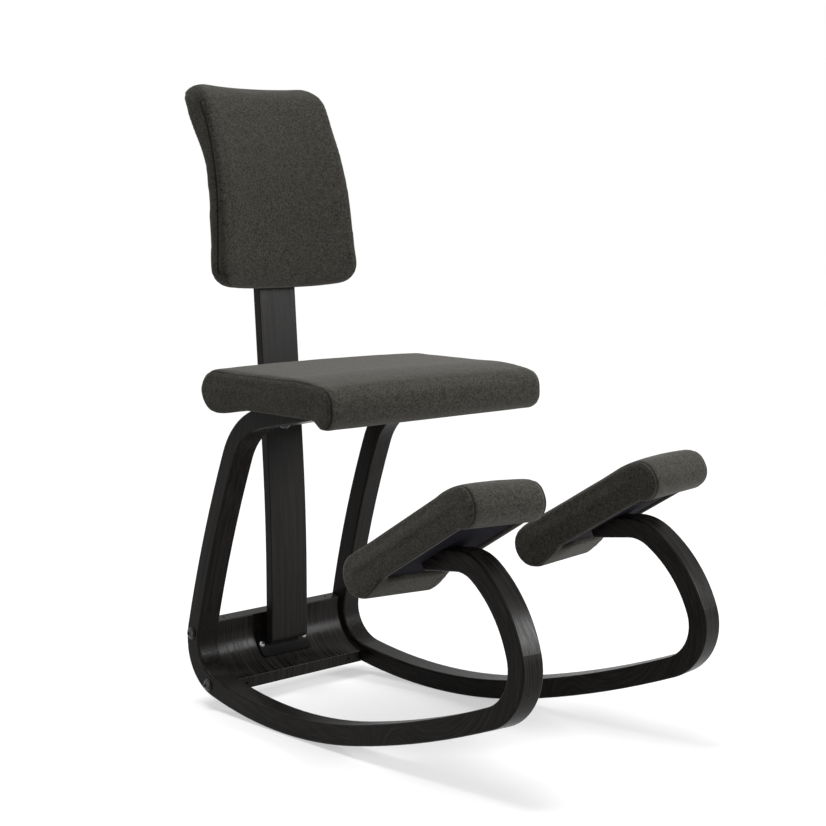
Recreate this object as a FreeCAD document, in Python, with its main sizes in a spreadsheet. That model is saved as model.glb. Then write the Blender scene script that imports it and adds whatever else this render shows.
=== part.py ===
import FreeCAD, Part
import math
import os
import re
import Sketcher

# Kneeling chair: two bent rocker runners, a cross panel, a seat, two knee pads and a backrest.
# The chair faces -Y and stands on Z = 0. Its right side is at -X.

SIZES = [
    ("frame_shift", 25.75, "runner mid-length to the origin, along Y"),
    ("runner_half_spacing", 172.8, "runner centre plane to the middle, at mid-length on the floor"),
    ("runner_splay", 3.38, "toe-out of each runner, degrees"),
    ("runner_cant", 2.03, "inward lean of each runner, degrees"),
    ("runner_width", 36.8, "runner section, across"),
    ("runner_thick", 29.4, "runner section, through the laminations"),
    ("runner_edge", 3.0, "rounding of the runner's long edges"),
    ("contact_back", 118.6, "floor contact behind the runner's mid-length"),
    ("knee_arm_rise", 7.0, "slope of the knee arm, degrees"),
    ("knee_arm_len", 63.0, "straight part of the knee arm"),
    ("knee_bend_rad", 61.8, "bend at the top of the riser"),
    ("knee_bend_turn", 40.9, "degrees"),
    ("riser_rad", 184.0, "curved riser"),
    ("riser_turn", 38.1, "degrees"),
    ("front_corner_rad", 68.8, "front corner"),
    ("front_corner_turn", 86.4, "degrees"),
    ("rocker_front_rad", 1641.0, "front part of the rocker"),
    ("rocker_front_turn", 9.6, "degrees"),
    ("rocker_rear_rad", 771.0, "rear part of the rocker"),
    ("rocker_rear_turn", 24.8, "degrees"),
    ("rear_corner_rad", 69.0, "rear corner"),
    ("rear_corner_turn", 89.4, "degrees"),
    ("upright_rad", 1805.0, "rear upright"),
    ("upright_turn", 9.0, "degrees"),
    ("seat_bend_rad", 97.7, "bend under the seat"),
    ("seat_bend_turn", 58.0, "degrees"),
    ("seat_arm_len", 134.0, "straight part of the seat arm"),
    ("panel_thick", 20.0, "cross panel"),
    ("panel_straight", 6.4, "straight lip above the panel's bend"),
    ("panel_edge", 1.5, "rounding of the panel's long edges"),
    ("pilot_dia", 4.0, "blind holes in the panel's edges"),
    ("pilot_deep", 12.0, "depth of the blind holes"),
    ("pilot_inset", 32.0, "blind hole to the runner's inner face"),
    ("side_bolt_ring", 71.0, "side bolts to the rear corner's centre"),
    ("side_bolt_high", 4.2, "upper side bolt above level at the corner's centre, degrees"),
    ("side_bolt_low", 68.7, "lower side bolt below level at the corner's centre, degrees"),
    ("post_width", 73.5, "backrest post, across"),
    ("post_thick", 14.2, "backrest post, through the laminations"),
    ("post_front_back", 309.0, "post's lower front face behind the runner's mid-length"),
    ("post_foot_up", 74.0, "post's lower end above the floor"),
    ("post_straight", 98.0, "upright lower stretch of the post"),
    ("post_bend_rad", 3000.0, "gentle bend of the post"),
    ("post_lean", 3.95, "lean of the post's upper stretch, degrees"),
    ("post_upper_len", 400.0, "upper stretch of the post"),
    ("post_edge", 1.5, "rounding of the post's long edges"),
    ("post_foot_round", 9.0, "rounding of the post's lower front edge"),
    ("post_top_round", 20.0, "rounding of the post's two upper corners"),
    ("bracket_thick", 3.0, "steel bracket"),
    ("bracket_corner", 6.0, "rounding of the bracket's corners"),
    ("bracket_half", 50.0, "half width of the bracket's saddle"),
    ("bracket_from", 48.0, "saddle's lower end, degrees below level at the corner's centre"),
    ("bracket_to", 8.0, "saddle's upper end, degrees below level at the corner's centre"),
    ("leaf_half", 30.0, "half width of the bracket's upright leaf"),
    ("leaf_top_up", 166.0, "top of the leaf above the floor"),
    ("saddle_screw_side", 43.5, "saddle screws to the middle"),
    ("saddle_screw_at", 28.0, "saddle screws, degrees below level at the corner's centre"),
    ("foot_bolt_up", 134.0, "lower post bolt above the floor"),
    ("foot_bolt_pitch", 20.0, "between the two post bolts"),
    ("cushion_length", 277.0, "seat and knee cushions, front to back"),
    ("cushion_height", 50.0, "cushion's side, from its lower hem to the top"),
    ("cushion_crown", 3.0, "rise of the cushion's middle over its sides"),
    ("cushion_round", 4.0, "drawing-in of the cushion at its two side faces"),
    ("cushion_clear", 0.3, "gap between a cushion and what it lies round"),
    ("cushion_turn", 8.0, "stretch over which the cushion draws in at its side faces"),
    ("seat_rear_roll_drop", 9.0, "seat cushion: rear roll below the hem"),
    ("seat_rear_roll_len", 85.0, "seat cushion: rear end to where the hem starts"),
    ("seat_rear_roll_at", 38.0, "seat cushion: rear end to the lowest line of the rear roll"),
    ("seat_rear_end_up", 22.0, "seat cushion: rearmost line above the hem"),
    ("seat_rear_top_at", 28.0, "seat cushion: rear end to where the top starts"),
    ("seat_front_roll_drop", 11.0, "seat cushion: front roll below the hem"),
    ("seat_front_roll_len", 34.0, "seat cushion: front end to where the hem ends"),
    ("seat_front_roll_at", 15.0, "seat cushion: front end to the lowest line of the front roll"),
    ("seat_front_end_up", 16.0, "seat cushion: foremost line above the hem"),
    ("seat_front_shoulder_at", 22.0, "seat cushion: front end to the shoulder of the top"),
    ("seat_front_shoulder_drop", 6.0, "seat cushion: shoulder below the top"),
    ("seat_front_fall_at", 102.0, "seat cushion: front end to where the top starts to fall"),
    ("knee_rear_roll_drop", 10.0, "knee cushion: rear roll below the hem"),
    ("knee_rear_roll_len", 70.0, "knee cushion: rear end to where the hem starts"),
    ("knee_rear_roll_at", 28.0, "knee cushion: rear end to the lowest line of the rear roll"),
    ("knee_rear_end_up", 22.0, "knee cushion: rearmost line above the hem"),
    ("knee_rear_top_at", 28.0, "knee cushion: rear end to where the top starts"),
    ("knee_front_roll_drop", 5.0, "knee cushion: front roll below the hem"),
    ("knee_front_roll_len", 42.0, "knee cushion: front end to where the hem ends"),
    ("knee_front_roll_at", 20.0, "knee cushion: front end to the lowest line of the front roll"),
    ("knee_front_end_up", 21.0, "knee cushion: foremost line above the hem"),
    ("knee_front_shoulder_at", 19.0, "knee cushion: front end to the shoulder of the top"),
    ("knee_front_shoulder_drop", 5.0, "knee cushion: shoulder below the top"),
    ("knee_front_fall_at", 55.0, "knee cushion: front end to where the top starts to fall"),
    ("hem_drop", 3.0, "hem below the liner's face"),
    ("liner_thick", 1.0, "liner cloth"),
    ("board_thick", 10.0, "plywood boards of seat and knee pads"),
    ("board_side", 14.0, "board's edge to the cushion's side face"),
    ("board_rear", 20.0, "board's rear edge to the cushion's rear end"),
    ("board_front", 15.0, "board's front edge to the cushion's front end"),
    ("board_corner", 10.0, "rounding of the boards' corners"),
    ("mouth_side", 16.0, "open underside's edge to the cushion's side face"),
    ("mouth_gap", 0.5, "gap round the liner"),
    ("notch_clear", 2.0, "seat cushion's notch to each side of the arm in it"),
    ("seat_width", 430.0, "seat across"),
    ("seat_back", 118.0, "seat's middle behind the runner's mid-length"),
    ("seat_up", 464.5, "seat's hem above the floor at its middle"),
    ("seat_tilt", 1.0, "forward slope of the seat, degrees"),
    ("seat_bolt_back", 30.0, "seat bolts behind the seat's middle"),
    ("seat_arm_reach", 56.0, "seat arm's end ahead of the seat's middle"),
    ("knee_width", 129.6, "knee pad across"),
    ("knee_ahead", 200.3, "knee pad's middle ahead of the runner's mid-length"),
    ("knee_up", 304.3, "knee pad's hem above the floor at its middle"),
    ("knee_tilt", 30.6, "slope of the knee pads, degrees"),
    ("knee_arm_reach", 33.0, "knee arm's end behind the knee pad's middle"),
    ("knee_screw_front", 0.0, "front knee screw ahead of the knee pad's middle"),
    ("knee_screw_pitch", 21.0, "between the two screws of a knee pad"),
    ("back_bottom_up", 628.0, "backrest's lower end above the floor"),
    ("back_high", 306.5, "backrest's height"),
    ("back_half_low", 136.5, "backrest's half width near its lower end"),
    ("back_half_high", 120.5, "backrest's half width near its top"),
    ("back_sag_low", 15.0, "how far the backrest's middle lies behind its sides, lower part"),
    ("back_sag_high", 8.0, "how far the backrest's middle lies behind its sides, at the top"),
    ("back_front", 26.5, "backrest's front ahead of the post, lower middle"),
    ("back_flare_rad", 410.0, "backward bend of the backrest's upper part"),
    ("back_flare_from", 108.0, "where the bend starts, above the backrest's lower end"),
    ("back_roll", 13.0, "top roll thicker than the lower part"),
    ("back_roll_from", 180.0, "where the top roll starts to swell, above the backrest's lower end"),
    ("back_roll_len", 90.0, "stretch over which the top roll swells"),
    ("back_corner", 26.0, "rounding of the backrest's outline"),
    ("back_rim_low", 8.0, "rounding of the lower rim, through the backrest"),
    ("back_rim_high", 17.0, "rounding of the upper rim, through the backrest"),
    ("back_side_bulge", 3.0, "outward swell of the backrest's side faces"),
    ("back_cover", 4.0, "padding between the post and the backrest's board"),
    ("back_sink", 2.0, "how deep the post lies in the padding"),
    ("back_board_thick", 8.0, "backrest's board"),
    ("back_board_side", 24.0, "board's edge to the backrest's side"),
    ("back_board_low", 24.0, "board's lower edge above the backrest's lower end"),
    ("back_board_bulge", 1.0, "rounding of the board's edge"),
    ("back_board_corner", 18.0, "rounding of the board's outline"),
    ("back_board_high", 252.0, "board's upper edge above the backrest's lower end"),
    ("back_bolt_low", 48.0, "lower backrest bolt above the backrest's lower end"),
    ("back_bolt_pitch", 60.0, "between the two backrest bolts"),
    ("bolt_dia", 8.0, "frame and seat bolts"),
    ("bolt_head_dia", 14.5, "domed head"),
    ("bolt_head_high", 4.6, "domed head"),
    ("bolt_socket", 5.0, "hexagon socket across flats"),
    ("washer_dia", 19.0, "frame and seat washers"),
    ("washer_thick", 1.6, "washers"),
    ("hole_clear", 0.25, "radial clearance of a bolt in wood"),
    ("small_bolt_dia", 6.0, "post and backrest bolts"),
    ("small_head_dia", 10.8, "domed head of the post and backrest bolts"),
    ("small_head_high", 3.3, "domed head of the post and backrest bolts"),
    ("small_socket", 4.0, "hexagon socket across flats"),
    ("small_washer_dia", 14.0, "backrest washers"),
    ("small_washer_thick", 1.2, "backrest washers"),
    ("thread_clear", 0.05, "radial gap of a bolt in its nut"),
    ("barrel_dia", 10.0, "barrel nut"),
    ("barrel_len", 16.0, "barrel nut"),
    ("barrel_inset", 22.0, "barrel nut's axis to the runner's inner face"),
    ("screw_dia", 5.0, "wood screw shank"),
    ("screw_head_dia", 9.5, "wood screw head"),
    ("screw_head_high", 3.0, "wood screw head"),
    ("screw_len", 22.0, "wood screw shank's length"),
    ("screw_point", 4.0, "wood screw's point"),
    ("saddle_screw_len", 16.0, "bracket screw shank's length"),
    ("tee_barrel_dia", 10.0, "tee nut's barrel"),
    ("tee_flange_dia", 22.0, "tee nut's flange"),
    ("tee_flange_thick", 1.6, "tee nut's flange"),
    ("small_tee_barrel", 8.0, "backrest tee nut's barrel"),
    ("small_tee_flange", 18.0, "backrest tee nut's flange"),
    ("insert_dia", 9.0, "threaded insert in wood"),
    ("insert_len", 10.0, "threaded insert in the post"),
    ("tab_width", 12.0, "blank cloth tab in the seat's side seam"),
    ("tab_drop", 5.0, "tab's height"),
    ("tab_thick", 0.8, "tab's thickness"),
    ("tab_behind", 60.0, "tab behind the seat's middle"),
    ("tab_low", 39.0, "tab's lower edge above the hem"),
]

DERIVED = [
    ("rocker_start", "knee_bend_turn + riser_turn + front_corner_turn + rocker_front_turn - knee_arm_rise - 180",
     "heading of the rocker where its rear arc starts, degrees"),
    ("rocker_end", "rocker_start + rocker_rear_turn", "heading of the rocker where its rear arc ends, degrees"),
    ("corner_arm", "rocker_rear_rad - rear_corner_rad", "rocker's centre to the rear corner's centre"),
    ("corner_back", "contact_back + corner_arm * sin(rocker_end * 1 deg)", "rear corner's centre, along Y"),
    ("corner_up", "rocker_rear_rad + runner_thick / 2 - corner_arm * cos(rocker_end * 1 deg)",
     "rear corner's centre above the floor"),
    ("panel_outer", "rear_corner_rad + runner_thick / 2", "panel's outer face, level with the runner's"),
    ("panel_rad", "panel_outer - panel_thick / 2", "panel's middle"),
    ("panel_inner", "panel_outer - panel_thick", "panel's hollow face"),
    ("panel_back", "corner_back * cos(runner_splay * 1 deg) - sin(runner_splay * 1 deg)"
     " * (runner_width / 2 * cos(runner_cant * 1 deg) + corner_up * sin(runner_cant * 1 deg))",
     "panel bend's centre, along Y, between the splayed runners"),
    ("panel_up", "corner_up * cos(runner_cant * 1 deg) - runner_width / 2 * sin(runner_cant * 1 deg)",
     "panel bend's centre above the floor, between the leaning runners"),
    ("side_bolt_len", "washer_thick + runner_width + barrel_inset + barrel_dia / 2 + 3", "side bolt's shank"),
    ("post_rear_back", "post_front_back + post_thick", "post's lower rear face"),
    ("leaf_foot", "panel_up - sqrt(pow(panel_inner - bracket_thick / 2; 2)"
     " - pow(post_rear_back + bracket_thick / 2 - panel_back; 2))", "leaf's lower end above the floor"),
    ("seat_half", "seat_width / 2", "half width of the seat"),
    ("knee_half", "knee_width / 2", "half width of a knee pad"),
    ("board_low", "hem_drop + liner_thick", "board's lower face above the hem"),
    ("board_high", "board_low + board_thick", "board's upper face above the hem"),
    ("board_len", "cushion_length - board_rear - board_front", "boards, front to back"),
    ("tee_barrel_len", "board_thick - tee_flange_thick - 1", "tee nut's barrel"),
    ("small_tee_len", "back_board_thick - tee_flange_thick - 1", "backrest tee nut's barrel"),
    ("back_bolt_len", "small_washer_thick + post_thick + back_cover + back_board_thick - 1", "backrest bolt's shank"),
    ("foot_bolt_len", "bracket_thick + insert_len - 1", "post foot bolt's shank"),
]

doc = FreeCAD.newDocument("kneeling_chair")
sheet = doc.addObject("Spreadsheet::Sheet", "Sheet")
for row, (alias, value, note) in enumerate(SIZES, start=1):
    sheet.set("A%d" % row, note)
    sheet.set("B%d" % row, repr(value))
    sheet.setAlias("B%d" % row, alias)
for row, (alias, formula, note) in enumerate(DERIVED, start=len(SIZES) + 1):
    sheet.set("A%d" % row, note)
    sheet.set("B%d" % row, "=" + formula)
    sheet.setAlias("B%d" % row, alias)
doc.recompute()
size = {alias: float(sheet.get(alias)) for alias, content, note in SIZES + DERIVED}


def note_size(alias, value, note):
    """Keeps a length worked out by the macro in the sheet too."""
    row = len(size) + 1
    sheet.set("A%d" % row, note)
    sheet.set("B%d" % row, repr(value))
    sheet.setAlias("B%d" % row, alias)
    size[alias] = value


V = FreeCAD.Vector
X_AXIS = V(1, 0, 0)
Y_AXIS = V(0, 1, 0)
Z_AXIS = V(0, 0, 1)
RIGHT, LEFT = -1, 1
SIDES = {"right": RIGHT, "left": LEFT}
nodes = []


def rad(name):
    return math.radians(size[name])


def turned(axis, degrees):
    return FreeCAD.Rotation(axis, degrees)


def placed(x, y, z, rotation=None):
    return FreeCAD.Placement(V(x, y, z), rotation or FreeCAD.Rotation())


# Frames: a runner's own frame has X across it, -Y forward and Z up along its lean.

WORLD = placed(0, -size["frame_shift"], 0)
FLOOR_LIFT = ((size["runner_width"] / 2 - size["runner_edge"]) * math.sin(rad("runner_cant"))
              + size["runner_edge"] * (1 - math.cos(rad("runner_cant"))))


def runner_frame(side):
    lean = turned(Z_AXIS, side * size["runner_splay"]) * turned(Y_AXIS, -side * size["runner_cant"])
    return WORLD * placed(side * size["runner_half_spacing"], 0, FLOOR_LIFT, lean)


def seat_frame():
    return WORLD * placed(0, size["seat_back"], size["seat_up"] + FLOOR_LIFT, turned(X_AXIS, size["seat_tilt"]))


def knee_frame(side):
    tilt = turned(X_AXIS, -size["knee_tilt"])
    return runner_frame(side) * placed(0, -size["knee_ahead"], size["knee_up"], tilt)


def linked(formula):
    """A formula of sheet names as other objects write it."""
    return re.sub("[a-z_]+", lambda word: ("Sheet." if word.group() in size else "") + word.group(), formula)


def value_of(formula):
    """The number that a formula of sheet names stands for."""
    return float(sheet.evalExpression(formula))


def bind(thing, **links):
    for prop, formula in links.items():
        thing.setExpression(prop, linked(formula))


def keep(thing, label):
    thing.Label = label
    nodes.append(thing)
    return thing


def new_body(name):
    return doc.addObject("PartDesign::Body", name)


def sketch_on(body, role, name):
    sketch = body.newObject("Sketcher::SketchObject", name)
    plane = [feature for feature in body.Origin.OriginFeatures if feature.Role == role][0]
    sketch.AttachmentSupport = [(plane, "")]
    sketch.MapMode = "FlatFace"
    return sketch


def dimension(sketch, formula, *what):
    """Add a driving dimension and bind it to the sheet."""
    index = sketch.addConstraint(Sketcher.Constraint(*what))
    sketch.setExpression("Constraints[%d]" % index, linked(formula))
    return index


# A bent strip seen from its side: a chain of lines and left-turning arcs, with one thickness.


def walk(start, heading, runs, offset):
    """Geometry of one side of the strip, offset to the right of its centre line."""
    shapes = []
    x, y = start
    for run in runs:
        side = V(math.sin(heading), -math.cos(heading), 0)
        if run[0] == "line":
            length = size[run[1]]
            end = (x + length * math.cos(heading), y + length * math.sin(heading))
            shapes.append(Part.LineSegment(V(x, y, 0) + side * offset, V(end[0], end[1], 0) + side * offset))
            x, y = end
        else:
            radius, turn = size[run[1]], rad(run[2])
            centre = V(x, y, 0) - side * radius
            circle = Part.Circle(centre, Z_AXIS, radius + offset)
            first = heading - math.pi / 2
            shapes.append(Part.ArcOfCircle(circle, first, first + turn))
            heading += turn
            x = centre.x + radius * math.sin(heading)
            y = centre.y - radius * math.cos(heading)
    return shapes


def strip_outline(sketch, start, heading, runs, thickness, anchor, centre, tilt):
    """Outline of the strip. The arc number anchor has its centre at the two expressions of centre,
    and the line number tilt[0] has the slope tilt[1]."""
    half = size[thickness] / 2
    chains = []
    for offset, sign in ((half, "+"), (-half, "-")):
        first = sketch.GeometryCount
        for shape in walk(start, heading, runs, offset):
            sketch.addGeometry(shape, False)
        chain = list(range(first, sketch.GeometryCount))
        for before, after in zip(chain, chain[1:]):
            sketch.addConstraint(Sketcher.Constraint("Tangent", before, 2, after, 1))
        for index, run in zip(chain, runs):
            geometry = sketch.Geometry[index]
            if run[0] == "line":
                dimension(sketch, run[1], "Distance", index, geometry.length())
            else:
                radius = "%s %s %s / 2" % (run[1], sign, thickness)
                dimension(sketch, radius, "Radius", index, geometry.Radius)
                dimension(sketch, "%s * 1 deg" % run[2], "Angle", index, rad(run[2]))
        if chains:
            sketch.addConstraint(Sketcher.Constraint("Coincident", chain[anchor], 3, chains[0][anchor], 3))
            sketch.addConstraint(Sketcher.Constraint("Parallel", chain[tilt[0]], chains[0][tilt[0]]))
        else:
            middle = sketch.Geometry[chain[anchor]].Center
            dimension(sketch, centre[0], "DistanceX", chain[anchor], 3, middle.x)
            dimension(sketch, centre[1], "DistanceY", chain[anchor], 3, middle.y)
            line = sketch.Geometry[chain[tilt[0]]]
            slope = math.atan2(line.EndPoint.y - line.StartPoint.y, line.EndPoint.x - line.StartPoint.x)
            dimension(sketch, tilt[1], "Angle", chain[tilt[0]], slope)
        chains.append(chain)
    outer, inner = chains
    for end, position in ((0, 1), (-1, 2)):
        corner = [sketch.getPoint(outer[end], position), sketch.getPoint(inner[end], position)]
        cap = sketch.addGeometry(Part.LineSegment(*corner), False)
        sketch.addConstraint(Sketcher.Constraint("Coincident", cap, 1, outer[end], position))
        sketch.addConstraint(Sketcher.Constraint("Coincident", cap, 2, inner[end], position))
    return chains


def padded(body, sketch, name, length):
    pad = body.newObject("PartDesign::Pad", name)
    pad.Profile = sketch
    pad.Midplane = True
    bind(pad, Length=length)
    doc.recompute()
    return pad


def long_edges(shape, half):
    """The edges of a padded outline that run along its two side faces."""
    names = []
    for number, edge in enumerate(shape.Edges, start=1):
        box = edge.BoundBox
        flat = box.XLength < 0.01 and abs(abs(box.XMin) - half) < 0.01
        if flat and edge.Length > 1:
            names.append("Edge%d" % number)
    return names


def without_caps(shape, names, ends):
    """Drops the edges whose middle lies on one of the end lines of a strip."""
    kept = []
    for name in names:
        edge = shape.getElement(name)
        middle = edge.valueAt((edge.FirstParameter + edge.LastParameter) / 2)
        if all((V(0, middle.y, middle.z) - end).Length > 0.1 for end in ends):
            kept.append(name)
    return kept


def eased(body, pad, sketch, chains, width, radius):
    """Rounds the long edges of a padded strip, and leaves its two ends sharp."""
    ends = []
    for end, position in ((0, 1), (-1, 2)):
        pair = [sketch.getPoint(chain[end], position) for chain in chains]
        middle = (pair[0] + pair[1]) * 0.5
        ends.append(V(0, middle.x, middle.y))
    names = without_caps(pad.Shape, long_edges(pad.Shape, size[width] / 2), ends)
    fillet = body.newObject("PartDesign::Fillet", body.Name + "_easing")
    fillet.Base = (pad, names)
    bind(fillet, Radius=radius)
    doc.recompute()
    return fillet


# The runner's centre line, from the tip of the knee arm round to the tip of the seat arm.

RUNNER_RUNS = [
    ("line", "knee_arm_len"),
    ("arc", "knee_bend_rad", "knee_bend_turn"),
    ("arc", "riser_rad", "riser_turn"),
    ("arc", "front_corner_rad", "front_corner_turn"),
    ("arc", "rocker_front_rad", "rocker_front_turn"),
    ("arc", "rocker_rear_rad", "rocker_rear_turn"),
    ("arc", "rear_corner_rad", "rear_corner_turn"),
    ("arc", "upright_rad", "upright_turn"),
    ("arc", "seat_bend_rad", "seat_bend_turn"),
    ("line", "seat_arm_len"),
]
ROCKER_REAR = 5


def runner_start():
    """The knee arm's tip, found by walking the centre line backwards from the rocker's rear arc."""
    heading = rad("rocker_start")
    radius = size["rocker_rear_rad"]
    y = size["contact_back"] + radius * math.sin(heading)
    z = radius + size["runner_thick"] / 2 - radius * math.cos(heading)
    for kind, *names in reversed(RUNNER_RUNS[:ROCKER_REAR]):
        if kind == "line":
            y -= size[names[0]] * math.cos(heading)
            z -= size[names[0]] * math.sin(heading)
        else:
            radius = size[names[0]]
            middle = (y - radius * math.sin(heading), z + radius * math.cos(heading))
            heading -= rad(names[1])
            y = middle[0] + radius * math.sin(heading)
            z = middle[1] - radius * math.cos(heading)
    return (y, z), heading


def runner_blank(side_name):
    body = new_body("blank_" + side_name)
    sketch = sketch_on(body, "YZ_Plane", "runner_side_" + side_name)
    start, heading = runner_start()
    chains = strip_outline(
        sketch, start, heading, RUNNER_RUNS, "runner_thick", ROCKER_REAR,
        ("contact_back", "rocker_rear_rad + runner_thick / 2"), (0, "(180 - knee_arm_rise) * 1 deg"))
    pad = padded(body, sketch, "runner_pad_" + side_name, "runner_width")
    eased(body, pad, sketch, chains, "runner_width", "runner_edge")
    body.Placement = runner_frame(SIDES[side_name])
    return body


# Cutters: each has the size of what goes there, and a frame of its own.


def box_cutter(name, frame, corner, spans):
    """A box whose low corner and three spans are formulas of sheet names."""
    box = doc.addObject("Part::Box", name)
    bind(box, Length=spans[0], Width=spans[1], Height=spans[2])
    box.Placement = frame * placed(*[value_of(formula) for formula in corner])
    return box


def rod_cutter(name, frame, radius, depth):
    """A cylinder that starts at a frame's origin and runs along its Z axis."""
    rod = doc.addObject("Part::Cylinder", name)
    bind(rod, Radius=radius, Height=depth)
    rod.Placement = frame
    return rod


def cut(name, base, tools):
    group = doc.addObject("Part::Compound", name + "_cuts")
    group.Links = tools
    result = doc.addObject("Part::Cut", name)
    result.Base = base
    result.Tool = group
    return result


# Where the fasteners sit. Each frame has its origin on the joint and its Z axis towards the head.


def side_bolt_frame(side, angle):
    """On the runner's outer face."""
    ring = size["side_bolt_ring"]
    spot = placed(side * size["runner_width"] / 2,
                  size["corner_back"] + ring * math.cos(angle),
                  size["corner_up"] + ring * math.sin(angle),
                  turned(Y_AXIS, side * 90))
    return runner_frame(side) * spot


SIDE_BOLT_ANGLES = {"high": rad("side_bolt_high"), "low": -rad("side_bolt_low")}
side_bolt_frames = {
    (side_name, level): side_bolt_frame(side, angle)
    for side_name, side in SIDES.items()
    for level, angle in SIDE_BOLT_ANGLES.items()
}


def post_room():
    """From the backrest's lower end to just over the post's top, along the post."""
    bend_top = size["post_foot_up"] + size["post_straight"] + size["post_bend_rad"] * math.sin(rad("post_lean"))
    below = (size["back_bottom_up"] - bend_top) / math.cos(rad("post_lean"))
    return size["post_upper_len"] - below + size["cushion_clear"] + 1


def arm_line(line_number, face):
    """A point of an arm's upper (1) or lower (-1) face, and its slope, in the runner's plane."""
    start, heading = runner_start()
    shape = walk(start, heading, RUNNER_RUNS, face * size["runner_thick"] / 2)[line_number]
    ends = sorted([shape.StartPoint, shape.EndPoint], key=lambda point: point.x)
    slope = (ends[1].y - ends[0].y) / (ends[1].x - ends[0].x)
    return ends[0], slope


def seen_from_board(point, slope, middle_back, middle_up, tilt):
    """The same point and slope in the frame of a board that is turned by tilt about X."""
    away = V(point.x - middle_back, point.y - middle_up, 0)
    across = away.x * math.cos(tilt) + away.y * math.sin(tilt)
    up = away.y * math.cos(tilt) - away.x * math.sin(tilt)
    return across, up, math.tan(math.atan(slope) - tilt)


SEAT_PLACE = (size["seat_back"], size["seat_up"], rad("seat_tilt"))
KNEE_PLACE = (-size["knee_ahead"], size["knee_up"], -rad("knee_tilt"))


def spot_height(line_number, place, spot_back, spot_radius):
    """Height, from a board's hem, of a round seat cut complete into the arm's lower face."""
    across, up, slope = seen_from_board(*arm_line(line_number, -1), *place)
    return up + slope * (spot_back - across) + abs(slope) * spot_radius


note_size("seat_spot", spot_height(-1, SEAT_PLACE, size["seat_bolt_back"], size["washer_dia"] / 2 + 1),
          "seat of the seat bolt's washer, from the hem")
note_size("knee_spot", spot_height(0, KNEE_PLACE, size["knee_screw_pitch"] - size["knee_screw_front"],
                                   size["screw_head_dia"] / 2 + 1),
          "seat of the knee screws' heads, from the hem")
note_size("post_room", post_room(), "room for the post behind the backrest, upwards")
note_size("seat_bolt_len", size["washer_thick"] + size["board_high"] - 1 - size["seat_spot"],
          "seat bolt's shank")


def seat_bolt_side():
    """Distance of the seat arm's centre plane from the middle, at the seat bolts."""
    back = size["seat_back"] + size["seat_bolt_back"]
    return (size["runner_half_spacing"] - back * math.tan(rad("runner_splay"))
            - size["seat_up"] * math.sin(rad("runner_cant")))


DOWNWARDS = turned(X_AXIS, 180)
seat_bolt_frames = {
    name: seat_frame() * placed(side * seat_bolt_side(), size["seat_bolt_back"], size["seat_spot"], DOWNWARDS)
    for name, side in SIDES.items()
}
knee_screw_frames = {
    (name, row): knee_frame(side) * placed(0, row * size["knee_screw_pitch"] - size["knee_screw_front"],
                                           size["knee_spot"], DOWNWARDS)
    for name, side in SIDES.items()
    for row in (0, 1)
}


def corner_frame():
    """At the centre of the panel's bend, in the middle of the chair."""
    return WORLD * placed(0, size["panel_back"], size["panel_up"] + FLOOR_LIFT)


def around_corner(degrees_up, radius, across, outwards):
    """On a circle about the bend's centre, with Z pointing outwards or to the centre."""
    turn = turned(X_AXIS, degrees_up) * turned(X_AXIS, -90 if outwards else 90)
    angle = math.radians(degrees_up)
    return corner_frame() * placed(across, radius * math.cos(angle), radius * math.sin(angle), turn)


saddle_screw_frames = {
    name: around_corner(-size["saddle_screw_at"], size["panel_inner"] - size["bracket_thick"],
                        side * size["saddle_screw_side"], False)
    for name, side in SIDES.items()
}


def post_bolt_frame(row):
    """On the rear face of the leaf, with Z to the rear."""
    return WORLD * placed(0, size["post_rear_back"] + size["bracket_thick"],
                          size["foot_bolt_up"] + row * size["foot_bolt_pitch"] + FLOOR_LIFT,
                          turned(X_AXIS, -90))


post_bolt_frames = [post_bolt_frame(row) for row in (0, 1)]


def backrest_frame():
    """On the post's front face at the backrest's lower end. Z runs up the post and Y to the rear."""
    lean = rad("post_lean")
    bend_foot = size["post_foot_up"] + size["post_straight"]
    front_rad = size["post_bend_rad"] + size["post_thick"] / 2
    knee_y = size["post_front_back"] + front_rad * (1 - math.cos(lean))
    knee_z = bend_foot + front_rad * math.sin(lean)
    y = knee_y + (size["back_bottom_up"] - knee_z) * math.tan(lean)
    return WORLD * placed(0, y, size["back_bottom_up"] + FLOOR_LIFT, turned(X_AXIS, -size["post_lean"]))


back_bolt_frames = [
    backrest_frame() * placed(0, size["post_thick"],
                              size["back_bolt_low"] + row * size["back_bolt_pitch"], turned(X_AXIS, -90))
    for row in (0, 1)
]


# Runners: the blank is cut flat under each board, squared at its tips and drilled.


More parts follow.
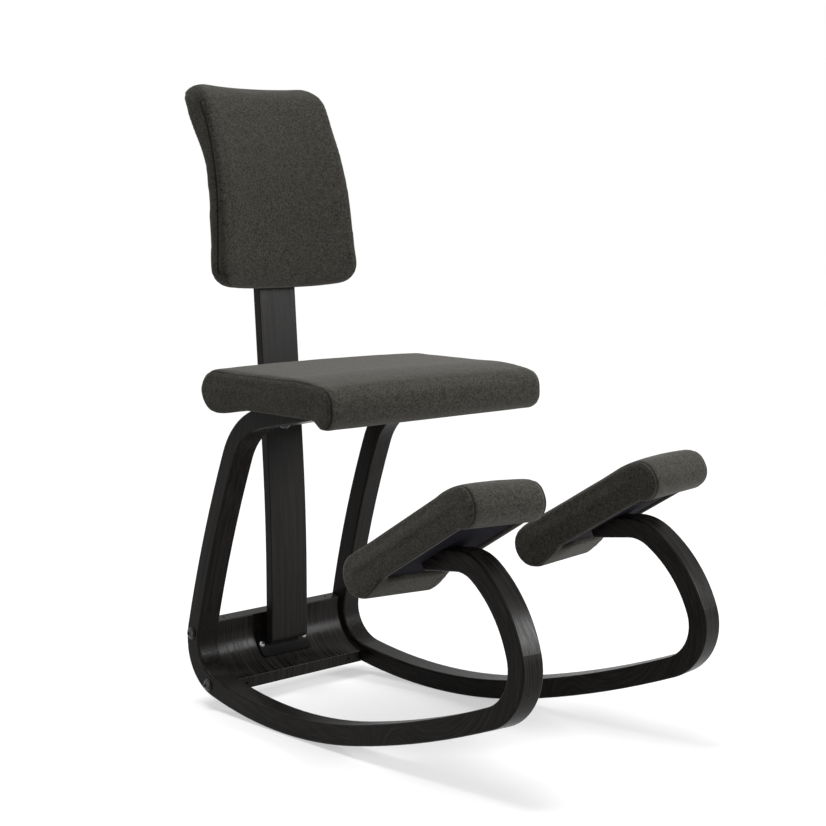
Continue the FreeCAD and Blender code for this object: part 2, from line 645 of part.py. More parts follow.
def runner(side_name):
    side = SIDES[side_name]
    blank = runner_blank(side_name)
    knee, seat = knee_frame(side), seat_frame()
    wide = "2 * runner_width"
    tools = [
        box_cutter("knee_seat_" + side_name, knee, ("-runner_width", "-cushion_length / 2", "hem_drop"),
                   (wide, "cushion_length", "2 * runner_thick")),
        box_cutter("knee_tip_" + side_name, knee, ("-runner_width", "knee_arm_reach", "-2 * runner_thick"),
                   (wide, "2 * runner_thick", "4 * runner_thick")),
        box_cutter("seat_seat_" + side_name, seat, ("-seat_half", "-cushion_length / 2", "hem_drop"),
                   ("seat_width", "cushion_length", "2 * runner_thick")),
        box_cutter("seat_tip_" + side_name, seat, ("-seat_half", "-2 * runner_thick - seat_arm_reach",
                                                   "-2 * runner_thick"),
                   ("seat_width", "2 * runner_thick", "4 * runner_thick")),
        rod_cutter("seat_bolt_hole_" + side_name, seat_bolt_frames[side_name] * placed(0, 0, 0, DOWNWARDS),
                   "bolt_dia / 2 + hole_clear", "2 * runner_thick"),
        rod_cutter("seat_spot_" + side_name, seat_bolt_frames[side_name], "washer_dia / 2 + 1", "runner_thick"),
    ]
    for row in (0, 1):
        head = knee_screw_frames[side_name, row]
        tag = "%s_%d" % (side_name, row)
        tools.append(rod_cutter("knee_screw_hole_" + tag, head * placed(0, 0, 0, DOWNWARDS),
                                "screw_dia / 2 + thread_clear", "2 * runner_thick"))
        tools.append(rod_cutter("knee_spot_" + tag, head, "screw_head_dia / 2 + 1", "runner_thick"))
    for level in SIDE_BOLT_ANGLES:
        outside = side_bolt_frames[side_name, level]
        tools.append(rod_cutter("side_bolt_hole_%s_%s" % (side_name, level), outside * placed(0, 0, 1, DOWNWARDS),
                                "bolt_dia / 2 + hole_clear", "2 * runner_width"))
    return keep(cut("Runner_" + side_name, blank, tools), "runner_" + side_name)


for side_name in SIDES:
    runner(side_name)


# Cross panel: follows the runners' rear corner, and is trimmed to their inner faces.

PANEL_RUNS = [("arc", "panel_rad", "rear_corner_turn"), ("line", "panel_straight")]


def edges_along_x(shape):
    names = []
    for number, edge in enumerate(shape.Edges, start=1):
        box = edge.BoundBox
        if box.XLength > 1 and box.YLength < 0.01 and box.ZLength < 0.01:
            names.append("Edge%d" % number)
    return names


def panel_blank():
    body = new_body("panel_blank")
    sketch = sketch_on(body, "YZ_Plane", "panel_side")
    heading = rad("rocker_end")
    radius = size["panel_rad"]
    start = (radius * math.sin(heading), -radius * math.cos(heading))
    tangent = "rocker_end + rear_corner_turn"
    chains = strip_outline(sketch, start, heading, PANEL_RUNS, "panel_thick", 0, ("0", "0"),
                           (1, "(%s) * 1 deg" % tangent))
    pad = padded(body, sketch, "panel_pad", "2 * runner_half_spacing + 2 * runner_width")
    fillet = body.newObject("PartDesign::Fillet", "panel_easing")
    fillet.Base = (pad, edges_along_x(pad.Shape))
    bind(fillet, Radius="panel_edge")
    body.Placement = corner_frame()
    doc.recompute()
    return body


def cross_panel():
    tools = []
    for side_name, side in SIDES.items():
        low = "-runner_width / 2" if side == LEFT else "runner_width / 2 - 4 * runner_width"
        tools.append(box_cutter("panel_end_" + side_name, runner_frame(side), (low, "0", "-runner_width"),
                                ("4 * runner_width", "2 * corner_back", "2 * corner_up")))
        for level in SIDE_BOLT_ANGLES:
            tag = "%s_%s" % (side_name, level)
            outside = side_bolt_frames[side_name, level]
            inner_face = outside * placed(0, 0, -size["runner_width"], DOWNWARDS)
            tools.append(rod_cutter("panel_bolt_hole_" + tag, inner_face * placed(0, 0, -1),
                                    "bolt_dia / 2 + hole_clear", "barrel_inset + barrel_dia + 1"))
            foot = barrel_frame(side_name, level) * placed(0, 0, -size["barrel_len"] / 2)
            tools.append(rod_cutter("barrel_hole_" + tag, foot, "barrel_dia / 2 + thread_clear", "2 * barrel_len"))
        for edge_name, frame in edge_hole_frames(side).items():
            tools.append(rod_cutter("edge_hole_%s_%s" % (side_name, edge_name), frame, "pilot_dia / 2", "pilot_deep"))
    for side_name, frame in saddle_screw_frames.items():
        tools.append(rod_cutter("saddle_screw_hole_" + side_name, frame * placed(0, 0, 0, DOWNWARDS),
                                "screw_dia / 2 + thread_clear", "saddle_screw_len + 1"))
    return keep(cut("Cross_panel", panel_blank(), tools), "cross_panel")


def barrel_frame(side_name, level):
    """A barrel nut's middle, on its bolt's axis, with Z pointing away from the bend's centre."""
    side = SIDES[side_name]
    angle = SIDE_BOLT_ANGLES[level]
    ring = size["panel_rad"]
    across = side * (size["runner_width"] / 2) - side * (size["runner_width"] + size["barrel_inset"])
    spot = placed(across, size["corner_back"] + ring * math.cos(angle), size["corner_up"] + ring * math.sin(angle),
                  turned(X_AXIS, math.degrees(angle) - 90))
    return runner_frame(side) * spot


def edge_hole_frames(side):
    """Blind holes in the panel's upper and front edge, near the runner."""
    half = size["runner_half_spacing"] - size["runner_width"] / 2 - size["pilot_inset"]
    across = side * (half - size["corner_back"] * math.tan(rad("runner_splay")))
    radius = size["panel_rad"]
    upper = size["rocker_end"] + size["rear_corner_turn"] - 90
    lip = placed(0, 0, 0, turned(X_AXIS, upper)) * placed(across, radius, size["panel_straight"] - size["pilot_deep"])
    lower = size["rocker_end"] - 90
    front = placed(0, 0, 0, turned(X_AXIS, lower)) * placed(across, radius, 0)
    return {"upper": corner_frame() * lip, "front": corner_frame() * front}


cross_panel()


# Backrest post: a flat strip that leans back, rounded at its foot and at its two upper corners.

POST_RUNS = [("line", "post_upper_len"), ("arc", "post_bend_rad", "post_lean"), ("line", "post_straight")]


def upright_edges(shape, half, low, high):
    """Edges on the two side faces of a padded strip, with their middle between two heights."""
    names = []
    for name in long_edges(shape, half):
        edge = shape.getElement(name)
        middle = edge.valueAt((edge.FirstParameter + edge.LastParameter) / 2)
        if low < middle.z < high:
            names.append(name)
    return names


def post_blank():
    body = new_body("post_blank")
    sketch = sketch_on(body, "YZ_Plane", "post_side")
    lean = rad("post_lean")
    radius = size["post_bend_rad"]
    centre = ("post_front_back + post_thick / 2 + post_bend_rad", "post_foot_up + post_straight")
    y = value_of(centre[0]) - radius * math.cos(lean) + size["post_upper_len"] * math.sin(lean)
    z = value_of(centre[1]) + radius * math.sin(lean) + size["post_upper_len"] * math.cos(lean)
    strip_outline(sketch, (y, z), -math.pi / 2 - lean, POST_RUNS, "post_thick", 1, centre,
                  (0, "(-90 - post_lean) * 1 deg"))
    pad = padded(body, sketch, "post_pad", "post_width")
    corners = []
    for number, edge in enumerate(pad.Shape.Edges, start=1):
        box = edge.BoundBox
        if box.XLength < 0.01 and box.ZMin > z - size["post_thick"] and box.ZLength < size["post_thick"]:
            corners.append("Edge%d" % number)
    top = body.newObject("PartDesign::Fillet", "post_top_corners")
    top.Base = (pad, corners)
    bind(top, Radius="post_top_round")
    doc.recompute()
    foot_edges = []
    for name in edges_along_x(top.Shape):
        box = top.Shape.getElement(name).BoundBox
        if box.ZMax < size["post_foot_up"] + 1 and box.YMax < size["post_front_back"] + 1:
            foot_edges.append(name)
    foot = body.newObject("PartDesign::Fillet", "post_foot_round")
    foot.Base = (top, foot_edges)
    bind(foot, Radius="post_foot_round")
    doc.recompute()
    easing = body.newObject("PartDesign::Fillet", "post_easing")
    easing.Base = (foot, upright_edges(foot.Shape, size["post_width"] / 2, size["post_foot_up"] + 1, z))
    bind(easing, Radius="post_edge")
    body.Placement = WORLD * placed(0, 0, FLOOR_LIFT)
    doc.recompute()
    return body


def back_post():
    tools = []
    for row, frame in enumerate(back_bolt_frames):
        tools.append(rod_cutter("post_hole_%d" % row, frame * placed(0, 0, 1, DOWNWARDS),
                                "small_bolt_dia / 2 + hole_clear", "2 * post_thick"))
    for row, frame in enumerate(post_bolt_frames):
        face = frame * placed(0, 0, -size["bracket_thick"], DOWNWARDS)
        tools.append(rod_cutter("insert_hole_%d" % row, face, "insert_dia / 2 + thread_clear", "insert_len"))
    return keep(cut("Back_post", post_blank(), tools), "back_post")


back_post()


# Bracket: a bent saddle in the panel's hollow and an upright leaf behind the post.


def corners_of_plate(shape, thickness):
    """The short edges that run through a plate's thickness at its corners."""
    names = []
    for number, edge in enumerate(shape.Edges, start=1):
        if abs(edge.Length - thickness) < 0.01 and edge.BoundBox.XLength < 0.01:
            names.append("Edge%d" % number)
    return names


def bracket_blank():
    body = new_body("bracket_blank")
    saddle = sketch_on(body, "YZ_Plane", "saddle_side")
    middle = ("panel_back", "panel_up")
    circles = {"panel_inner": [], "panel_inner - bracket_thick": []}
    for formula in circles:
        radius = value_of(formula)
        circle = Part.Circle(V(size["panel_back"], size["panel_up"], 0), Z_AXIS, radius)
        arc = saddle.addGeometry(Part.ArcOfCircle(circle, -rad("bracket_from"), -rad("bracket_to")), False)
        dimension(saddle, formula, "Radius", arc, radius)
        circles[formula] = arc
    outer, inner = circles.values()
    dimension(saddle, middle[0], "DistanceX", outer, 3, size["panel_back"])
    dimension(saddle, middle[1], "DistanceY", outer, 3, size["panel_up"])
    saddle.addConstraint(Sketcher.Constraint("Coincident", inner, 3, outer, 3))
    for position, degrees in ((1, "bracket_from"), (2, "bracket_to")):
        ends = [saddle.getPoint(arc, position) for arc in (inner, outer)]
        cap = saddle.addGeometry(Part.LineSegment(*ends), False)
        saddle.addConstraint(Sketcher.Constraint("Coincident", cap, 1, inner, position))
        saddle.addConstraint(Sketcher.Constraint("Coincident", cap, 2, outer, position))
        dimension(saddle, "-%s * 1 deg" % degrees, "Angle", cap, -rad(degrees))
    saddle_pad = padded(body, saddle, "saddle_pad", "2 * bracket_half")
    leaf = sketch_on(body, "YZ_Plane", "leaf_side")
    rectangle(leaf, ("post_rear_back", "post_rear_back + bracket_thick"), ("leaf_foot", "leaf_top_up"))
    leaf_pad = padded(body, leaf, "leaf_pad", "2 * leaf_half")
    corners = body.newObject("PartDesign::Fillet", "bracket_corners")
    corners.Base = (leaf_pad, corners_of_plate(leaf_pad.Shape, size["bracket_thick"]))
    bind(corners, Radius="bracket_corner")
    body.Placement = WORLD * placed(0, 0, FLOOR_LIFT)
    doc.recompute()
    return body


def rectangle(sketch, across, up):
    """A rectangle between two pairs of formulas."""
    x = [value_of(formula) for formula in across]
    y = [value_of(formula) for formula in up]
    corners = [V(x[0], y[0], 0), V(x[1], y[0], 0), V(x[1], y[1], 0), V(x[0], y[1], 0)]
    first = sketch.GeometryCount
    for start, end in zip(corners, corners[1:] + corners[:1]):
        sketch.addGeometry(Part.LineSegment(start, end), False)
    for index in range(4):
        after = first + (index + 1) % 4
        sketch.addConstraint(Sketcher.Constraint("Coincident", first + index, 2, after, 1))
        sketch.addConstraint(Sketcher.Constraint("Vertical" if index % 2 else "Horizontal", first + index))
    dimension(sketch, across[0], "DistanceX", first, 1, x[0])
    dimension(sketch, across[1], "DistanceX", first, 2, x[1])
    dimension(sketch, up[0], "DistanceY", first, 1, y[0])
    dimension(sketch, up[1], "DistanceY", first + 1, 2, y[1])


def post_bracket():
    tools = []
    for row, frame in enumerate(post_bolt_frames):
        tools.append(rod_cutter("leaf_hole_%d" % row, frame * placed(0, 0, 1, DOWNWARDS),
                                "small_bolt_dia / 2 + hole_clear", "2 * bracket_thick"))
    for side_name, frame in saddle_screw_frames.items():
        tools.append(rod_cutter("saddle_hole_" + side_name, frame * placed(0, 0, 1, DOWNWARDS),
                                "screw_dia / 2 + hole_clear", "2 * bracket_thick"))
        tools.append(rod_cutter("saddle_seat_" + side_name, frame, "screw_head_dia / 2 + hole_clear",
                                "screw_head_high"))
    return keep(cut("Post_bracket", bracket_blank(), tools), "post_bracket")


post_bracket()


# Boards, each a slab with round corners, and the liners in the mouths of the cushions.


def slab(name, frame, half, rear, front, low, thick, corner):
    """A slab from front to rear, both measured inwards from the cushion's two ends."""
    body = new_body(name)
    sketch = sketch_on(body, "XY_Plane", name + "_plan")
    rectangle(sketch, ("-(%s)" % half, half),
              ("-cushion_length / 2 + (%s)" % front, "cushion_length / 2 - (%s)" % rear))
    pad = body.newObject("PartDesign::Pad", name + "_pad")
    pad.Profile = sketch
    bind(pad, Length=thick)
    doc.recompute()
    uprights = []
    for number, edge in enumerate(pad.Shape.Edges, start=1):
        if edge.BoundBox.XLength < 0.01 and edge.BoundBox.YLength < 0.01:
            uprights.append("Edge%d" % number)
    rounding = body.newObject("PartDesign::Fillet", name + "_corners")
    rounding.Base = (pad, uprights)
    bind(rounding, Radius=corner)
    body.Placement = frame * placed(0, 0, value_of(low))
    doc.recompute()
    return body


def mouth_length(kind):
    return "cushion_length - %s_front_roll_len - %s_rear_roll_len + 7" % (kind, kind)


def mouth(name, frame, kind):
    """The open underside of a cushion, from below it up to its board."""
    low = ("-(%s_half - mouth_side)" % kind, "-cushion_length / 2 + %s_front_roll_len - 2" % kind, "board_low - 30")
    spans = ("2 * (%s_half - mouth_side)" % kind, mouth_length(kind), "30")
    return box_cutter(name, frame, low, spans)


def liner(name, frame, kind, holes):
    low = ("-(%s_half - mouth_side) + mouth_gap" % kind,
           "-cushion_length / 2 + %s_front_roll_len - 2 + mouth_gap" % kind, "hem_drop")
    spans = ("2 * (%s_half - mouth_side - mouth_gap)" % kind, mouth_length(kind) + " - 2 * mouth_gap",
             "liner_thick")
    cloth = box_cutter(name + "_cloth", frame, low, spans)
    return keep(cut(name.capitalize(), cloth, holes), name)


def seat_parts():
    frame = seat_frame()
    board = slab("seat_board_blank", frame, "seat_half - board_side", "board_rear", "board_front",
                 "board_low", "board_thick", "board_corner")
    board_holes, liner_holes = [], []
    for side_name, head in seat_bolt_frames.items():
        upwards = head * placed(0, 0, 0, DOWNWARDS)
        flange = upwards * placed(0, 0, size["board_high"] - size["tee_flange_thick"] - size["seat_spot"])
        board_holes.append(rod_cutter("tee_hole_" + side_name, upwards, "tee_barrel_dia / 2 + thread_clear",
                                      "2 * runner_thick"))
        board_holes.append(rod_cutter("flange_seat_" + side_name, flange, "tee_flange_dia / 2 + thread_clear",
                                      "runner_thick"))
        liner_holes.append(rod_cutter("liner_hole_" + side_name, upwards, "bolt_dia / 2 + hole_clear",
                                      "2 * runner_thick"))
    keep(cut("Seat_board", board, board_holes), "seat_board")
    liner("seat_liner", frame, "seat", liner_holes)


def knee_parts(side_name):
    frame = knee_frame(SIDES[side_name])
    board = slab("knee_board_blank_" + side_name, frame, "knee_half - board_side", "board_rear", "board_front",
                 "board_low", "board_thick", "board_corner")
    board_holes, liner_holes = [], []
    for row in (0, 1):
        tag = "%s_%d" % (side_name, row)
        upwards = knee_screw_frames[side_name, row] * placed(0, 0, 0, DOWNWARDS)
        board_holes.append(rod_cutter("board_screw_hole_" + tag, upwards, "screw_dia / 2 + thread_clear",
                                      "screw_len + 0.5"))
        liner_holes.append(rod_cutter("liner_screw_hole_" + tag, upwards, "screw_dia / 2 + thread_clear",
                                      "screw_len + 0.5"))
    keep(cut("Knee_board_" + side_name, board, board_holes), "knee_board_" + side_name)
    liner("knee_liner_" + side_name, frame, "knee", liner_holes)


seat_parts()
for side_name in SIDES:
    knee_parts(side_name)


# Cushions of the seat and knee pads: one side profile, carried across with drawn-in sides and a crown.

ROUND = 0.2
SHALLOW = 0.03
HEM = 0.12


def cushion_profile(kind):
    """Corner points from the rear hem round over the top, each with the bulge of the stretch to it:
    the height of its arc over its chord. A bulge of None is a straight stretch."""
    end = size["cushion_length"]
    top = size["cushion_height"]

    def own(part):
        return size[kind + "_" + part]

    return [
        (own("rear_roll_len"), 0.0, None),
        (own("rear_roll_at"), -own("rear_roll_drop"), SHALLOW),
        (0.0, own("rear_end_up"), ROUND),
        (own("rear_top_at"), top, ROUND),
        (end - own("front_fall_at"), top, None),
        (end - own("front_shoulder_at"), top - own("front_shoulder_drop"), SHALLOW),
        (end, own("front_end_up"), ROUND),
        (end - own("front_roll_at"), -own("front_roll_drop"), ROUND),
        (end - own("front_roll_len"), 0.0, HEM),
    ]


def cushion_section(kind, across, inset, crown):
    """The profile in the plane X = across, drawn in by inset, with its top raised by crown."""
    top, low = size["cushion_height"], -size[kind + "_front_roll_drop"]
    middle = size["cushion_length"] / 2
    narrow = 1 - inset / middle
    flat = 1 - 2 * inset / (top - low)
    points = []
    for from_rear, up, bulge in cushion_profile(kind):
        raised = up + crown * max(0.0, up) / top
        points.append((V(across, (middle - from_rear) * narrow, (raised - (top + low) / 2) * flat + (top + low) / 2),
                       bulge))
    return closed_wire(points, X_AXIS)


def closed_wire(points, axis):
    """A wire through points that run anticlockwise about the axis. A bulge lies outside."""
    edges = []
    for (start, skipped), (end, bulge) in zip(points, points[1:] + points[:1]):
        if bulge is None:
            edges.append(Part.makeLine(start, end))
        else:
            chord = end - start
            peak = (start + end) * 0.5 + chord.cross(axis) * bulge
            edges.append(Part.Arc(start, peak, end).toShape())
    return Part.Wire(edges)


SIDE_TURN = (0, 45, 90)
ACROSS = (30, 55, 75)


def cushion_stations(half):
    """Places of the sections across a cushion, with their inset and crown, from one side to the other."""
    turn = size["cushion_turn"]
    stations = []
    for degrees in SIDE_TURN:
        angle = math.radians(degrees)
        stations.append((half - turn * (1 - math.cos(angle)), size["cushion_round"] * (1 - math.sin(angle))))
    for degrees in reversed(ACROSS):
        stations.append(((half - turn) * math.sin(math.radians(degrees)), 0.0))
    stations = [(-x, inset) for x, inset in stations] + [(0.0, 0.0)] + list(reversed(stations))
    return [(x, inset, size["cushion_crown"] * (1 - (x / half) ** 2)) for x, inset in stations]


def cushion_blank(name, frame, kind):
    stations = cushion_stations(size[kind + "_half"])
    blank = doc.addObject("Part::Feature", name)
    blank.Shape = Part.makeLoft([cushion_section(kind, *station) for station in stations], True)
    blank.Placement = frame
    return blank


def cavity(name, frame, half):
    grown = "board_side - cushion_clear"
    return slab(name, frame, "%s - (%s)" % (half, grown), "board_rear - cushion_clear",
                "board_front - cushion_clear", "board_low", "board_thick", "board_corner")


def arm_notch(side_name):
    """Room in the seat cushion's rear roll for the arm that slopes down under it."""
    across, up, slope = seen_from_board(*arm_line(-1, 1), *SEAT_PLACE)
    side = SIDES[side_name]
    tilt = turned(X_AXIS, math.degrees(math.atan(slope)))
    start = size["cushion_length"] / 2 - size["seat_rear_roll_len"]
    spot = placed(side * seat_bolt_side(), start, up + slope * (start - across) + size["cushion_clear"], tilt)
    return box_cutter("arm_notch_" + side_name, seat_frame() * spot,
                      ("-runner_width / 2 - notch_clear", "-10", "-30"),
                      ("runner_width + 2 * notch_clear", "seat_rear_roll_len", "30"))


def seat_cushion():
    frame = seat_frame()
    tools = [cavity("seat_cavity", frame, "seat_half"), mouth("seat_mouth", frame, "seat")]
    tools += [arm_notch(side_name) for side_name in SIDES]
    blank = cushion_blank("seat_cushion_blank", frame, "seat")
    return keep(cut("Seat_cushion", blank, tools), "seat_cushion")


def knee_cushion(side_name):
    frame = knee_frame(SIDES[side_name])
    tools = [cavity("knee_cavity_" + side_name, frame, "knee_half"),
             mouth("knee_mouth_" + side_name, frame, "knee")]
    blank = cushion_blank("knee_cushion_blank_" + side_name, frame, "knee")
    return keep(cut("Knee_cushion_" + side_name, blank, tools), "knee_cushion_" + side_name)


seat_cushion()
for side_name in SIDES:
    knee_cushion(side_name)


def seam_tab():
    low = ("-seat_half - tab_thick", "tab_behind", "tab_low")
    tab = box_cutter("Seam_tab", seat_frame(), low, ("tab_thick", "tab_width", "tab_drop"))
    return keep(tab, "seam_tab")


seam_tab()


# Backrest: horizontal sections bent round the sitter, which flare backwards into a top roll.


def smooth_step(value):
    bounded = min(1.0, max(0.0, value))
    return bounded * bounded * (3 - 2 * bounded)


def back_front_line(up):
    """The middle of the backrest's front, behind the post's front plane."""
    flare = max(0.0, up - size["back_flare_from"])
    radius = size["back_flare_rad"]
    return radius - math.sqrt(radius * radius - flare * flare) - size["back_front"]


def back_depth(up):
    swell = smooth_step((up - size["back_roll_from"]) / size["back_roll_len"])
    return size["back_front"] + size["back_sink"] + size["back_roll"] * swell


def back_share(low, high, up):
    share = up / size["back_high"]
    return size[low] + (size[high] - size[low]) * share


def back_section(up, half, front, depth, bulge):
    """Two concentric arcs round the sitter, joined by two bulging sides."""
    full_half = back_share("back_half_low", "back_half_high", up)
    sag = back_share("back_sag_low", "back_sag_high", up)
    radius = (full_half * full_half + sag * sag) / (2 * sag)
    angle = math.asin(half / radius)
    middle = front - radius
    corners = {}
    for side in (RIGHT, LEFT):
        for name, ring in (("front", radius), ("rear", radius + depth)):
            corners[side, name] = V(side * ring * math.sin(angle), middle + ring * math.cos(angle), up)
    edges = [Part.Arc(corners[RIGHT, "front"], V(0, front, up), corners[LEFT, "front"]).toShape()]
    edges.append(side_arc(corners[LEFT, "front"], corners[LEFT, "rear"], bulge * LEFT))
    edges.append(Part.Arc(corners[LEFT, "rear"], V(0, front + depth, up), corners[RIGHT, "rear"]).toShape())
    edges.append(side_arc(corners[RIGHT, "rear"], corners[RIGHT, "front"], bulge * RIGHT))
    return Part.Wire(edges)


def side_arc(start, end, bulge):
    peak = (start + end) * 0.5 + V(bulge, 0, 0)
    return Part.Arc(start, peak, end).toShape()


RIM_TURN = (0, 30, 55, 75, 90)
BACK_STEPS = 8


def rimmed_stations(low, high, corner, rim_low, rim_high):
    """Heights with the insets of outline and thickness: two rounded ends and even steps between."""
    ends = []
    for degrees in RIM_TURN:
        angle = math.radians(degrees)
        ends.append((corner * (1 - math.cos(angle)), corner * (1 - math.sin(angle)), 1 - math.sin(angle)))
    stations = [(low + rise, inset, rim_low * share) for rise, inset, share in ends]
    pitch = (high - low - 2 * corner) / BACK_STEPS
    stations += [(low + corner + pitch * step, 0.0, 0.0) for step in range(1, BACK_STEPS)]
    stations += [(high - rise, inset, rim_high * share) for rise, inset, share in reversed(ends)]
    return stations


def back_cushion_blank():
    wires = []
    stations = rimmed_stations(0.0, size["back_high"], size["back_corner"],
                               size["back_rim_low"], size["back_rim_high"])
    for up, inset, thinner in stations:
        half = back_share("back_half_low", "back_half_high", up) - size["back_side_bulge"] - inset
        wires.append(back_section(up, half, back_front_line(up) + thinner, back_depth(up) - 2 * thinner,
                                  size["back_side_bulge"]))
    blank = doc.addObject("Part::Feature", "back_cushion_blank")
    blank.Shape = Part.makeLoft(wires, True)
    blank.Placement = backrest_frame()
    return blank


def bent_board(name, grow):
    """The backrest's board, or with grow the room for it."""
    wires = []
    stations = rimmed_stations(size["back_board_low"] - grow, size["back_board_high"] + grow,
                               size["back_board_corner"], 0.0, 0.0)
    inward = size["back_board_side"] + size["back_board_bulge"] - grow
    for up, inset, thinner in stations:
        half = back_share("back_half_low", "back_half_high", up) - inward - inset
        front = back_front_line(up) + size["back_front"] - size["back_cover"] - size["back_board_thick"] - grow
        wires.append(back_section(up, half, front, size["back_board_thick"] + 2 * grow, size["back_board_bulge"]))
    blank = doc.addObject("Part::Feature", name)
    blank.Shape = Part.makeLoft(wires, True)
    blank.Placement = backrest_frame()
    return blank


def back_board():
    tools = []
    for row, frame in enumerate(back_bolt_frames):
        forwards = frame * placed(0, 0, 0, DOWNWARDS)
        flange_at = size["post_thick"] + size["back_cover"] + size["back_board_thick"] - size["tee_flange_thick"]
        tools.append(rod_cutter("small_tee_hole_%d" % row, forwards, "small_tee_barrel / 2 + thread_clear",
                                "2 * back_bolt_len"))
        tools.append(rod_cutter("small_flange_seat_%d" % row, forwards * placed(0, 0, flange_at),
                                "small_tee_flange / 2 + thread_clear", "back_board_thick"))
    return keep(cut("Back_board", bent_board("back_board_blank", 0.0), tools), "back_board")


def back_cushion():
    frame = backrest_frame()
    tools = [
        bent_board("back_board_room", size["cushion_clear"]),
        box_cutter("post_room_box", frame, ("-post_width / 2 - cushion_clear", "0", "-10"),
                   ("post_width + 2 * cushion_clear", "back_front", "post_room + 10")),
    ]
    for row, bolt in enumerate(back_bolt_frames):
        tools.append(rod_cutter("cover_hole_%d" % row, bolt * placed(0, 0, 0, DOWNWARDS),
                                "small_bolt_dia / 2 + hole_clear", "back_bolt_len"))
    return keep(cut("Back_cushion", back_cushion_blank(), tools), "back_cushion")


back_board()
back_cushion()


# Fasteners: one master each, turned about its own axis, and a group of copies in their places.


def profile(sketch, corners):
    """A closed outline. A corner is two formulas, and a third entry marks a dome that ends there."""
    points = [V(value_of(corner[0]), value_of(corner[1]), 0) for corner in corners]
    first = sketch.GeometryCount
    count = len(corners)
    for index in range(count):
        start, end = points[index], points[(index + 1) % count]
        if len(corners[(index + 1) % count]) > 2:
            sketch.addGeometry(dome(start, end), False)
            sketch.addConstraint(Sketcher.Constraint("PointOnObject", first + index, 3, -2))
        else:
            sketch.addGeometry(Part.LineSegment(start, end), False)
    for index in range(count):
        line, after = first + index, first + (index + 1) % count
        sketch.addConstraint(Sketcher.Constraint("Coincident", line, 2, after, 1))
    for index, corner in enumerate(corners):
        dimension(sketch, corner[0], "DistanceX", first + index, 1, points[index].x)
        dimension(sketch, corner[1], "DistanceY", first + index, 1, points[index].y)


def dome(start, end):
    """An arc that rises from start to end, which lies on the axis."""
    rise = end.y - start.y
    radius = (start.x * start.x + rise * rise) / (2 * rise)
    centre = V(0, end.y - radius, 0)
    return Part.ArcOfCircle(Part.Circle(centre, Z_AXIS, radius),
                            math.atan2(start.y - centre.y, start.x), math.pi / 2)


def turned_body(name, corners):
    body = new_body(name)
    sketch = sketch_on(body, "XZ_Plane", name + "_profile")
    profile(sketch, corners)
    turning = body.newObject("PartDesign::Revolution", name + "_turning")
    turning.Profile = sketch
    turning.ReferenceAxis = (sketch, ["V_Axis"])
    turning.Angle = 360
    doc.recompute()
    return body


def hexagon_pocket(body, across, head_high):
    sketch = sketch_on(body, "XY_Plane", body.Name + "_hexagon")
    sketch.setExpression("AttachmentOffset.Base.z", linked(head_high))
    radius = value_of(across) / math.sqrt(3)
    points = [V(radius * math.cos(math.radians(60 * step)), radius * math.sin(math.radians(60 * step)), 0)
              for step in range(6)]
    for start, end in zip(points, points[1:] + points[:1]):
        sketch.addGeometry(Part.LineSegment(start, end), False)
    for index in range(6):
        sketch.addConstraint(Sketcher.Constraint("Coincident", index, 2, (index + 1) % 6, 1))
    for index, point in enumerate(points):
        dimension(sketch, "%s / sqrt(3) * cos(%d deg)" % (across, 60 * index), "DistanceX", index, 1, point.x)
        dimension(sketch, "%s / sqrt(3) * sin(%d deg)" % (across, 60 * index), "DistanceY", index, 1, point.y)
    pocket = body.newObject("PartDesign::Pocket", body.Name + "_socket")
    pocket.Profile = sketch
    bind(pocket, Length="0.6 * " + head_high)
    doc.recompute()


def bolt(name, shank, length, head, high, socket):
    """Origin under the head, which points up."""
    body = turned_body(name, [
        ("0", "-(%s)" % length),
        ("%s / 2 - 0.7" % shank, "-(%s)" % length),
        ("%s / 2" % shank, "0.7 - (%s)" % length),
        ("%s / 2" % shank, "0"),
        ("%s / 2" % head, "0"),
        ("%s / 2" % head, "0.25 * %s" % high),
        ("0", high, "dome"),
    ])
    hexagon_pocket(body, socket, high)
    return body


def wood_screw(name, length):
    body = turned_body(name, [
        ("0", "-(%s)" % length),
        ("screw_dia / 2", "screw_point - (%s)" % length),
        ("screw_dia / 2", "0"),
        ("screw_head_dia / 2", "0"),
        ("screw_head_dia / 2", "0.25 * screw_head_high"),
        ("0", "screw_head_high", "dome"),
    ])
    hexagon_pocket(body, "screw_dia / 2", "screw_head_high")
    return body


def ring(name, bore, rim, low, high):
    return turned_body(name, [(bore, low), (rim, low), (rim, high), (bore, high)])


def tee_nut(name, bore, barrel, length, flange):
    """Origin where the barrel meets the flange, which lies above."""
    return turned_body(name, [
        (bore, "-(%s)" % length),
        ("%s / 2" % barrel, "-(%s)" % length),
        ("%s / 2" % barrel, "0"),
        ("%s / 2" % flange, "0"),
        ("%s / 2" % flange, "tee_flange_thick"),
        (bore, "tee_flange_thick"),
    ])


def barrel_nut():
    rod = rod_cutter("barrel_rod", placed(0, 0, -size["barrel_len"] / 2), "barrel_dia / 2", "barrel_len")
    spot = placed(-size["barrel_dia"], 0, size["side_bolt_ring"] - size["panel_rad"], turned(Y_AXIS, 90))
    hole = rod_cutter("barrel_bore", spot, "bolt_dia / 2 + thread_clear", "2 * barrel_dia")
    return cut("Barrel_nut", rod, [hole])


def group(name, master, frames):
    copies = []
    for number, frame in enumerate(frames):
        copy = doc.addObject("App::Link", "%s_%d" % (name, number))
        copy.LinkedObject = master
        copy.LinkTransform = False
        copy.Placement = frame
        copies.append(copy)
    together = doc.addObject("Part::Compound", name.capitalize())
    together.Links = copies
    return keep(together, name)


def raised(frames, height):
    return [frame * placed(0, 0, height) for frame in frames]


